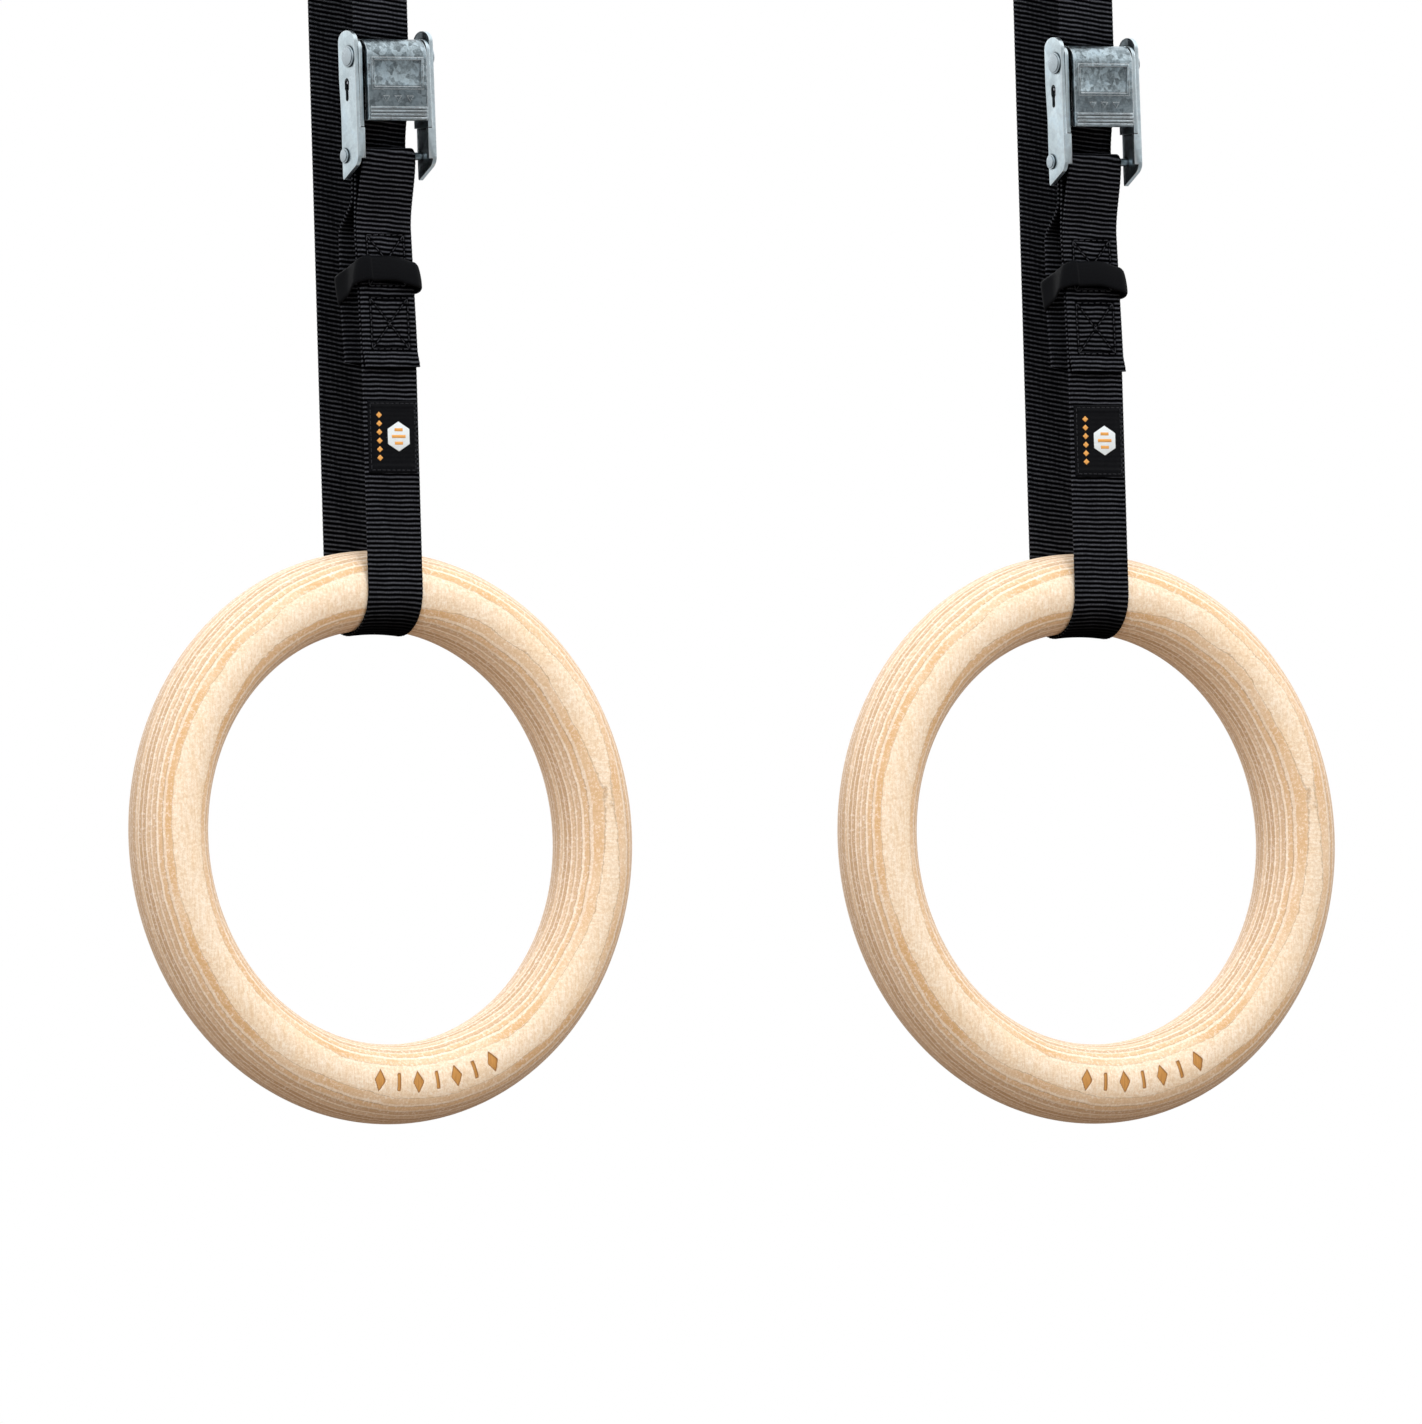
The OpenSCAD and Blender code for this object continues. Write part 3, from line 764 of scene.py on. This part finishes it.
def make_sewn_strap(tag):
    """Up from the split, over the pin and down in front of itself."""
    up = np.linspace(SPLIT_UP, PIN_UP, int((PIN_UP - SPLIT_UP) / PATH_STEP))
    down = np.linspace(PIN_UP, FOLD_UP, int((PIN_UP - FOLD_UP) / PATH_STEP))
    end_flare = 1.3 * smooth((FOLD_UP + 7 - down) / 7)
    rise = np.stack([sewn_out(up), up], -1)
    fall = np.stack([fold_out(down) + end_flare, down], -1)
    path = np.concatenate([rise, arc(PIN_OUT, PIN_UP, WRAP_R, 180, 0)[1:], fall[1:]])
    wrap_start = distances(rise)[-1]
    wrap_length = math.pi * WRAP_R
    wrap_end = wrap_start + wrap_length

    def skew(along, _):
        over = front_skew(PIN_UP) * (1 - 2 * smooth((along - wrap_start) / wrap_length))
        falling = -front_skew(PIN_UP - (along - wrap_end))
        rest = np.where(along > wrap_end, falling, over)
        return np.where(along < wrap_start, front_skew(SPLIT_UP + along), rest)

    piece = ribbon(tag, "sewn", path, SPLIT_UP, 1, skew, columns=58)
    dent_fold(piece, tag)
    rides(piece, tag, "sewn_strap", "carrier")


DENT_DEPTH, DENT_WIDTH = 0.20, 0.55


def stitch_dent(x, up):
    """How deep the sewing pulls the fold's front face in, in mm."""
    far, margin = 9, 0.6
    nearest = np.full(x.shape, float(far))
    for foot, top in BOXES:
        half = (top - foot) / 2
        rise = up - (foot + top) / 2
        diagonal = math.hypot(BOX_HALF, half)
        to_side = np.abs(np.abs(x) - BOX_HALF)
        to_end = np.abs(np.abs(rise) - half)
        within = (np.abs(x) < BOX_HALF) & (np.abs(rise) < half)
        lines = [
            nearest,
            np.where(np.abs(rise) < half + margin, to_side, far),
            np.where(np.abs(x) < BOX_HALF + margin, to_end, far),
            np.where(within, np.abs(x * half - rise * BOX_HALF) / diagonal, far),
            np.where(within, np.abs(x * half + rise * BOX_HALF) / diagonal, far),
        ]
        beside = (up > foot - 1) & (up < top + 1)
        nearest = np.where(beside, np.minimum.reduce(lines), nearest)
    return DENT_DEPTH * np.exp(-(nearest / DENT_WIDTH) ** 2)


def dent_fold(piece, tag):
    """Pulls the fold's front face in along the sewing and flattens its ribs there."""
    mesh = piece.data
    points = get_points(mesh)
    x, out, up = from_world(tag, points)
    front = (out > fold_out(up)) & (up < 245) & (up > FOLD_UP)
    dent = stitch_dent(x, up) * front
    points[:, 1] += dent * MM
    ribs = np.empty(len(mesh.vertices), np.float32)
    layer = mesh.attributes["rib"].data
    layer.foreach_get("value", ribs)
    ribs = ribs * (1 - 0.35 * np.clip(dent / DENT_DEPTH, 0, 1))
    layer.foreach_set("value", ribs.astype(np.float32))
    set_points(mesh, points)


def make_lower_straps(tag):
    parts = [
        ("front", MID_OUT, skew_between(0.015, 0.015)),
        ("rear", -MID_OUT, lambda along, _: rear_skew(RING_R + along)),
    ]
    for name, out, skew in parts:
        piece = make_upright(tag, f"{name}_lower", out, RING_R, SPLIT_UP, skew)
        replaced = f"{name}_strap_lower"
        bends(piece, tag, replaced, SPLIT_UP, RING_R + 6)


def make_cradle(tag):
    """The half turn under the top of the ring, cupped to follow the ring's curve."""
    path = arc(0, RING_R, MID_OUT, 0, -180)
    skew = skew_between(0.015, 0.09)
    piece = ribbon(tag, "cradle", path, RING_R, -TURN_RATE, skew, columns=14)
    points = get_points(piece.data).astype(float)
    x, _, up = from_world(tag, points)
    rise = np.sqrt(RING_R ** 2 - x ** 2) - RING_R
    points[:, 2] += rise * smooth((RING_R - up) / 10.0) * MM
    set_points(piece.data, points)
    foot = RING_R - RUN_OUT - WEB_T
    bends(piece, tag, "ring_saddle", RING_R, foot)


# ------------------------------------------------------------------ sewing
def stitches(corners, out_at, length, gap, jitter):
    """Stitches along the lines through the (x, up) corners, as pairs of (x, out, up)."""
    found = []
    for (x0, up0), (x1, up1) in zip(corners, corners[1:]):
        count = max(1, int(round(math.hypot(x1 - x0, up1 - up0) / (length + gap))))
        margin = 0.5 * gap / (length + gap)
        for i in range(count):
            stray = rng.normal(0, jitter, 4)
            ends = []
            for place, dx, dup in ((i + margin, *stray[:2]), (i + 1 - margin, *stray[2:])):
                part = place / count
                up = up0 + (up1 - up0) * part + dup * 0.5
                ends.append((x0 + (x1 - x0) * part + dx, out_at(up), up))
            found.append(ends)
    return found


def rectangle(half, foot, top):
    return [(-half, foot), (half, foot), (half, top), (-half, top), (-half, foot)]


def make_threads(tag, name, replaced, pairs, radius):
    """Stitches as rounded strands that bulge towards the front."""
    sides, rings, flatness = 8, 7, 0.75
    front = np.array([0, 1.0, 0])
    part = np.linspace(0, 1, rings)
    radii = np.sqrt(np.clip(1 - (2 * part - 1) ** 6, 0.02, 1)) * radius
    bow = (1 - (2 * part - 1) ** 4) * radius * 0.45
    angle = np.linspace(0, 2 * math.pi, sides, endpoint=False)
    quads = skin(rings, sides, closed=False)
    strands, faces = [], []
    for start, end in pairs:
        start, end = np.array(start, float), np.array(end, float)
        length = np.linalg.norm(end - start)
        along = (end - start) / length
        sideways = np.cross(along, front)
        section = np.cos(angle)[:, None] * sideways + flatness * np.sin(angle)[:, None] * front
        centres = start + np.outer(part * length, along) + np.outer(bow, front)
        base = len(strands) * rings * sides
        strands.append((centres[:, None, :] + radii[:, None, None] * section).reshape(-1, 3))
        faces += (quads + base).tolist()
        faces.append([base + j for j in range(sides)][::-1])
        faces.append([base + (rings - 1) * sides + j for j in range(sides)])
    points = to_world(tag, *np.concatenate(strands).T)
    piece = build(f"{tag}_thread_{name}", points, faces, [THREAD])
    rides(piece, tag, replaced, "carrier")


def make_box_sewing(tag):
    pairs = []
    style = dict(
        out_at=lambda up: fold_out(up) + WEB_T / 2 - 0.10, length=2.3, gap=0.55, jitter=0.12
    )
    for foot, top in BOXES:
        pairs += stitches(rectangle(BOX_HALF, foot, top) + [(BOX_HALF, top)], **style)
        pairs += stitches([(-BOX_HALF, top), (BOX_HALF, foot)], **style)
    make_threads(tag, "boxes", "box_stitching", pairs, radius=0.23)


def make_label_sewing(tag):
    out = RUN_OUT + WEB_T + 0.52
    corners = rectangle(SEAM_HALF, SEAM_FOOT, SEAM_TOP)
    pairs = stitches(corners, lambda up: out, length=1.7, gap=0.5, jitter=0.05)
    make_threads(tag, "label", "label_stitching", pairs, radius=0.16)


# ------------------------------------------------------------------ label
def label_marks():
    """Raised marks: (outline of (x, up), material, lift above the cloth)."""
    x, up, radius = 2.7, 159.6, 6.0
    hexagon = []
    for i in range(6):
        angle = math.radians(60 * i)
        hexagon.append((x + radius * math.sin(angle) * 0.97, up + radius * math.cos(angle)))
    marks = [(hexagon, WHITE, 0.02)]
    # three short bars on the hexagon: (rise, half width)
    thick = 0.62
    for rise, half in ((-2.7, 1.9), (0.0, 3.2), (2.7, 1.9)):
        bar = rectangle(half, up + rise - thick, up + rise + thick)[:4]
        marks.append(([(x + dx, height) for dx, height in bar], ORANGE, 0.09))
    # a column of lozenges to the left of it
    column, half_x, half_up = -6.2, 1.35, 1.25
    for i in range(6):
        mid = up - 8.6 + 3.44 * i
        lozenge = [
            (column - half_x, mid), (column, mid - half_up),
            (column + half_x, mid), (column, mid + half_up),
        ]
        marks.append((lozenge, ORANGE, 0.03))
    return marks


def raised_mark(tag, outline, level):
    """A thin plate with a chamfered front: points, UVs and faces."""
    thick, chamfer, sunk = 0.10, 0.12, 0.12
    centre = outline.mean(0)
    reach = np.linalg.norm(outline - centre, axis=1).max()
    small = centre + (outline - centre) * (1 - chamfer / reach)
    layers = [(outline, -sunk), (outline, thick * 0.6), (small, thick)]
    points = [to_world(tag, ring[:, 0], level + lift, ring[:, 1]) for ring, lift in layers]
    uv = [ring[:, ::-1] for ring, _ in layers]
    count = len(outline)
    faces = []
    for i in range(count):
        j = (i + 1) % count
        for base in (0, count):
            faces.append([base + i, base + j, base + count + j, base + count + i])
    faces.append([2 * count + i for i in range(count)])
    faces.append(list(range(count))[::-1])
    return np.concatenate(points), np.concatenate(uv), faces


def make_label(tag):
    """Woven patch with folded ends, pillowed between its seams, with plain marks."""
    columns, rows = 60, 76
    half = LABEL_W / 2
    height = LABEL_TOP - LABEL_FOOT
    x, up = np.meshgrid(
        np.linspace(-half, half, columns), np.linspace(LABEL_FOOT, LABEL_TOP, rows)
    )
    base = RUN_OUT + WEB_T + 0.03
    edge = np.minimum(np.minimum(x + half, half - x), np.minimum(up - LABEL_FOOT, LABEL_TOP - up))
    roll = np.sqrt(np.clip(1 - (1 - np.clip(edge / 0.35, 0, 1)) ** 2, 0, 1))
    rise = up - (LABEL_FOOT + LABEL_TOP) / 2
    seam = np.minimum(
        np.abs(np.abs(x) - SEAM_HALF), np.abs(np.abs(rise) - (SEAM_TOP - SEAM_FOOT) / 2)
    )
    puff = 0.12 * smooth(seam / 2.5) - 0.10 * np.exp(-(seam / 0.4) ** 2)
    rib = 0.025 * np.cos(2 * np.pi * up / RIB_PITCH)
    hem = 3.2
    fold = 0.16 * (smooth((LABEL_FOOT + hem - up) / 0.4) + smooth((up - LABEL_TOP + hem) / 0.4))
    top = 0.28 * roll + (puff + rib + fold) * smooth(edge / 0.6) + 0.04

    index = np.arange(columns * rows).reshape(rows, columns)
    quads = np.stack([index[:-1, :-1], index[:-1, 1:], index[1:, 1:], index[1:, :-1]], -1)
    quads = quads.reshape(-1, 4)
    behind = columns * rows
    faces = quads.tolist() + (quads[:, ::-1] + behind).tolist()
    border = np.r_[index[0, :-1], index[:-1, -1], index[-1, :0:-1], index[:0:-1, 0]]
    for a, b in zip(border.tolist(), np.roll(border, -1).tolist()):
        faces.append([b, a, a + behind, b + behind])
    points = [
        to_world(tag, x, base + top, up).reshape(-1, 3),
        to_world(tag, x, base, up).reshape(-1, 3),
    ]
    uv = [np.stack([up, x], -1).reshape(-1, 2)] * 2
    face_materials = [CLOTH] * len(faces)
    used = 2 * behind

    for outline, material, lift in label_marks():
        outline = np.asarray(outline, float)
        # the cloth's level under the mark's corners
        row = np.round((outline[:, 1] - LABEL_FOOT) / height * (rows - 1)).astype(int)
        column = np.round((outline[:, 0] + half) / LABEL_W * (columns - 1)).astype(int)
        level = float(np.mean(base + top[row, column])) + lift
        mark_points, mark_uv, mark_faces = raised_mark(tag, outline, level)
        points.append(mark_points)
        uv.append(mark_uv)
        faces += [[used + i for i in face] for face in mark_faces]
        face_materials += [material] * len(mark_faces)
        used += len(mark_points)

    piece = build(
        f"{tag}_label_patch", np.concatenate(points), faces, LABEL_MATERIALS,
        np.concatenate(uv), face_materials=face_materials,
    )
    rides(piece, tag, "label", "carrier")


# ------------------------------------------------------------------ elastic keeper
def make_keeper(tag):
    """Loose elastic loop, tipped up at the front, with its ends lapped on the front."""
    half_x = 14.0
    rear = EXIT_OUT - EXIT_STEP - TAIL_BOW - WEB_T / 2 - 1.6
    front = STACK_OUT + WEB_T / 2 + 1.45
    corner_r, thick, width = 3.6, 1.0, 11.5
    middle_up = 223.3
    lap_x = -9.9           # where the lapped end stops

    # outline seen from above, a rounded rectangle of (x, out)
    corners = [
        (half_x - corner_r, front - corner_r, 0),
        (-half_x + corner_r, front - corner_r, 90),
        (-half_x + corner_r, rear + corner_r, 180),
        (half_x - corner_r, rear + corner_r, 270),
    ]
    outline = []
    for corner_x, corner_out, start in corners:
        for i in range(13):
            angle = math.radians(start + 90 * i / 12)
            outline.append((
                corner_x + (corner_r - thick / 2) * math.cos(angle),
                corner_out + (corner_r - thick / 2) * math.sin(angle),
            ))
    outline.append(outline[0])
    outline = np.array(outline)
    run = distances(outline)
    rows, columns = int(run[-1] / 0.4), 15
    along = np.linspace(0, run[-1], rows, endpoint=False)
    x = np.interp(along, run, outline[:, 0])
    out = np.interp(along, run, outline[:, 1])
    step_x = np.gradient(np.r_[x[-1], x, x[0]])[1:-1]
    step_out = np.gradient(np.r_[out[-1], out, out[0]])[1:-1]
    step = np.hypot(step_x, step_out)
    normal_x, normal_out = step_out / step, -step_x / step

    across = np.linspace(-0.5, 0.5, columns)
    half = thick / 2 * np.sqrt(np.clip(1 - (np.abs(across) * 2) ** 8, 0.0, 1))
    on_front = smooth((out - 8.5) / 9)
    on_back = smooth((11.0 - out) / 9)
    # 1 to the right of the lapped end
    lap = np.where(out > 12, smooth((x - lap_x) / 0.5), smooth((x + 2) / 4))
    middle = middle_up + (out - 12.0) * 0.42 - 0.5 * lap * on_front
    middle = middle - 2.4 * smooth((x + 1) / 15) * on_front
    middle = middle + 0.6 * np.cos(x / half_x * math.pi / 2) * on_front
    lap_thick = 0.42 * (1 - smooth((x - lap_x) / 0.35)) * on_front

    def column(values):
        return values[:, None]

    across = np.repeat(across[None, :], rows, 0)
    flare = 1.5 * (0.5 - across) * column(on_front)
    flare = flare + 2.2 * (0.5 + across) * column(on_back) * 0.6
    belly = 0.35 * np.cos(np.pi * across) * (0.3 + 0.7 * column(on_front))
    up = column(middle) + across * width * (1 - 0.12 * column(on_front))

    def surface(offset):
        return to_world(
            tag, column(x) + column(normal_x) * offset,
            column(out) + column(normal_out) * offset, up,
        )

    points = wrap(
        surface(flare + belly + column(lap_thick) + half), surface(flare + belly - half)
    )
    around = points.shape[1]
    faces = skin(rows, around, closed=True).tolist()
    inner_shift = 20       # UV offset of the inner face
    across_uv = wrap(across * width, across * width + inner_shift)
    uv = np.stack([np.repeat(column(along), around, 1), across_uv], -1)
    piece = build(f"{tag}_elastic_loop", points, faces, [ELASTIC], uv)
    rides(piece, tag, "keeper", "keeper_loop")


# ------------------------------------------------------------------ wooden ring
def mark_distance(radius, angle):
    """Signed distance in mm to the burnt marks, lozenges and bars in turn."""
    lozenge_x, lozenge_y = 2.6, 4.6
    lozenge_slope = 2.264  # turns the lozenge's ratio into mm
    bar_x, bar_y = 0.8, 3.6
    nearest = np.full(radius.shape, 9.0)
    for i in range(7):
        turn = angle - math.radians(5.2 * i - 7.5)
        x = np.abs(radius * np.sin(turn))
        y = np.abs(RING_R - radius * np.cos(turn))
        if i % 2 == 0:
            distance = (x / lozenge_x + y / lozenge_y - 1) * lozenge_slope
        else:
            distance = np.maximum(x - bar_x, y - bar_y)
        nearest = np.minimum(nearest, distance)
    return nearest


def make_ring(tag):
    around, section = 1100, 150
    uneven, burn_depth, burn_blur = 0.05, 0.40, 0.9
    # angle runs from the lowest point towards +X, turn from the outer edge to the front
    angle, turn = np.meshgrid(
        np.linspace(0, 2 * math.pi, around, endpoint=False),
        np.linspace(0, 2 * math.pi, section, endpoint=False),
        indexing="ij",
    )
    # hand-sanded section: barely out of round
    tube = TUBE_R - uneven + uneven * np.sin(3 * angle + 1.0) * np.cos(2 * turn)
    distance = mark_distance(RING_R + tube * np.cos(turn), angle)
    on_front = tube * np.sin(turn) > 4
    burn = np.clip(0.5 - distance / burn_blur, 0, 1) * on_front
    tube = tube - burn_depth * smooth((burn - 0.35) / 0.4)
    radius = RING_R + tube * np.cos(turn)
    out = tube * np.sin(turn)
    x, up = radius * np.sin(angle), -radius * np.cos(angle)
    faces = skin(around, section, closed=True)[:, [0, 3, 2, 1]].tolist()
    attributes = {"burn": burn.ravel(), "local": np.stack([x, -out, up], -1).reshape(-1, 3)}
    uv = np.stack([angle * RING_R, turn * TUBE_R], -1)
    points = to_world(tag, x, out, up)
    piece = build(f"{tag}_wooden_ring", points, faces, [BIRCH], uv, attributes)
    rides(piece, tag, "ring", "grip")


# ------------------------------------------------------------------ metal parts
# CAD body: material, bevel width in mm
METAL = {
    "buckle_frame": (ZINC, 0.28),
    "buckle_cheeks": (ZINC, 0.22),
    "cam_lever": (CASTING, 0.22),
    "cam_pin": (PIN_STEEL, 0.12),
    "strap_pin": (PIN_STEEL, 0.12),
    "cam_spring": (SPRING_STEEL, 0.0),
}


def finish_metal(tag):
    """Metal parts keep their CAD solids, with softened edges."""
    for name, (material, bevel_width) in METAL.items():
        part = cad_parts[f"{tag}_{name}"]
        part.data.materials.clear()
        part.data.materials.append(material)
        if bevel_width:
            weld = part.modifiers.new("weld", "WELD")
            weld.merge_threshold = 2e-6
            bevel = part.modifiers.new("bevel", "BEVEL")
            bevel.width = bevel_width * MM
            bevel.segments = 3
            bevel.limit_method = "ANGLE"
            bevel.angle_limit = math.radians(38)
            bevel.use_clamp_overlap = True
        for polygon in part.data.polygons:
            polygon.use_smooth = True


def make_spring_wire(tag):
    """Copy of the spring in place of the CAD one, fixed where it is."""
    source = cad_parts[f"{tag}_cam_spring"]
    wire = bpy.data.objects.new(f"{tag}_spring_wire", source.data.copy())
    bpy.context.scene.collection.objects.link(wire)
    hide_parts(f"{tag}_cam_spring")
    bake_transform(wire)


SOFT_PARTS = (
    make_bar_loop, make_front_straps, make_rear_strap, make_sewn_strap, make_lower_straps,
    make_cradle, make_box_sewing, make_label, make_label_sewing, make_keeper, make_ring,
)
for tag in SIDES:
    for make in SOFT_PARTS:
        make(tag)
for tag in SIDES:
    finish_metal(tag)
    make_spring_wire(tag)


# ------------------------------------------------------------------ stage, metres
def make_floor_material():
    """White floor that glows far away, so it has no horizon, and is clear from below."""
    g = new_material("stage_floor")
    position = g.node("NewGeometry", output="Position")
    reach = g.node("VectorMath", {0: position}, output="Value", operation="LENGTH")
    far = reach.ramp(over=(1.6, 5.0))
    clouds = g.noise(position, scale=3.0)
    white = clouds.between(low=(0.88, 0.88, 0.88), high=(0.92, 0.92, 0.92))
    diffuse = g.node("BsdfDiffuse", {"Color": white})
    glow = g.node("Emission", {"Color": (1, 1, 1), "Strength": 1.0})
    top = g.node("MixShader", {0: far, 1: diffuse, 2: glow})
    clear = g.node("BsdfTransparent")
    return g.finish(g.node("MixShader", {0: position.sibling("Backfacing"), 1: top, 2: clear}))


def make_floor():
    half, z = 60.0, -2.9
    mesh = bpy.data.meshes.new("floor")
    corners = [(-half, -half, z), (half, -half, z), (half, half, z), (-half, half, z)]
    mesh.from_pydata(corners, [], [(0, 1, 2, 3)])
    mesh.materials.append(make_floor_material())
    floor = bpy.data.objects.new("floor", mesh)
    bpy.context.scene.collection.objects.link(floor)
    floor.visible_diffuse = False
    floor.visible_glossy = False


def make_world():
    """Plain white to the camera; brighter above and warmer below for lighting."""
    world = bpy.data.worlds.new("studio")
    bpy.context.scene.world = world
    g = Graph(world, "OutputWorld")
    direction = g.node("TexCoord", output="Generated")
    height = g.split(direction)[2]
    brightness = height.ramp(over=(-0.55, 0.65), to=(0.33, 1.06))
    # reflections see a dimmer patch to the front right
    patch_direction = (0.55, -0.83, -0.12)
    toward = g.node(
        "VectorMath", {0: direction, 1: patch_direction}, output="Value",
        operation="DOT_PRODUCT",
    )
    patch = toward.ramp(over=(0.60, 0.98), to=(1.05, 0.62))
    glossy = g.node("LightPath", output="Is Glossy Ray")
    strength = brightness * glossy.choose(1.0, patch)
    rise = height.ramp(over=(-0.6, 0.1), kind="LINEAR")
    cool = rise.math("MAXIMUM", glossy)
    colour = cool.between(low=(1.0, 0.72, 0.49), high=(0.975, 0.985, 1.0))
    lighting = g.node("Background", {"Color": colour, "Strength": strength})
    seen = g.node("Background", {"Color": (1, 1, 1), "Strength": 1.0})
    camera_ray = g.node("LightPath", output="Is Camera Ray")
    g.finish(g.node("MixShader", {0: camera_ray, 1: lighting, 2: seen}))


# name, place, size, power in watts, seen in reflections
LIGHTS = [
    ("key", (-0.2, -1.9, 1.5), 1.3, 28, False),
    ("top", (0.3, -0.1, 1.6), 1.2, 12, False),
    ("side", (2.2, -0.8, 0.4), 1.2, 8, True),
    ("left", (-2.3, -1.5, 0.1), 1.4, 20, False),
    ("back", (0.2, 2.2, 0.9), 1.4, 12, True),
]
LIGHT_TARGET = Vector((0, 0, -0.33))


def make_lights():
    for name, place, size, power, reflected in LIGHTS:
        light = bpy.data.lights.new(name, "AREA")
        light.shape = "SQUARE"
        light.size = size
        light.energy = power
        lamp = bpy.data.objects.new(name, light)
        lamp.location = place
        lamp.rotation_mode = "QUATERNION"
        lamp.rotation_quaternion = (LIGHT_TARGET - Vector(place)).to_track_quat("-Z", "Y")
        bpy.context.scene.collection.objects.link(lamp)
        lamp.visible_glossy = reflected


def make_camera():
    """Long lens from the front left, a little below, aimed near the ring centres."""
    azimuth, elevation, roll = (math.radians(angle) for angle in (-31.4, -3.0, -1.65))
    distance = 25.0
    view_width = 0.5718    # width in view at that distance
    shift_left, shift_up = 0.0096, 0.0506
    sensor = 36.0
    backward = Vector((
        math.sin(azimuth) * math.cos(elevation),
        -math.cos(azimuth) * math.cos(elevation),
        math.sin(elevation),
    ))
    data = bpy.data.cameras.new("camera")
    data.sensor_width = sensor
    data.lens = sensor / view_width * distance
    data.clip_start = 0.1
    data.clip_end = 200.0
    camera = bpy.data.objects.new("camera", data)
    bpy.context.scene.collection.objects.link(camera)
    turn = (-backward).to_track_quat("-Z", "Y") @ Quaternion((0, 0, 1), roll)
    right, up = turn @ Vector((1, 0, 0)), turn @ Vector((0, 1, 0))
    aim = Vector((0, 0, -BAR_UP * MM)) - right * shift_left + up * shift_up
    camera.location = aim + backward * distance
    camera.rotation_mode = "QUATERNION"
    camera.rotation_quaternion = turn
    bpy.context.scene.camera = camera


make_floor()
make_world()
make_lights()
make_camera()

view = bpy.context.scene.view_settings
view.view_transform = "Standard"
view.look = "None"
view.exposure = 0.0
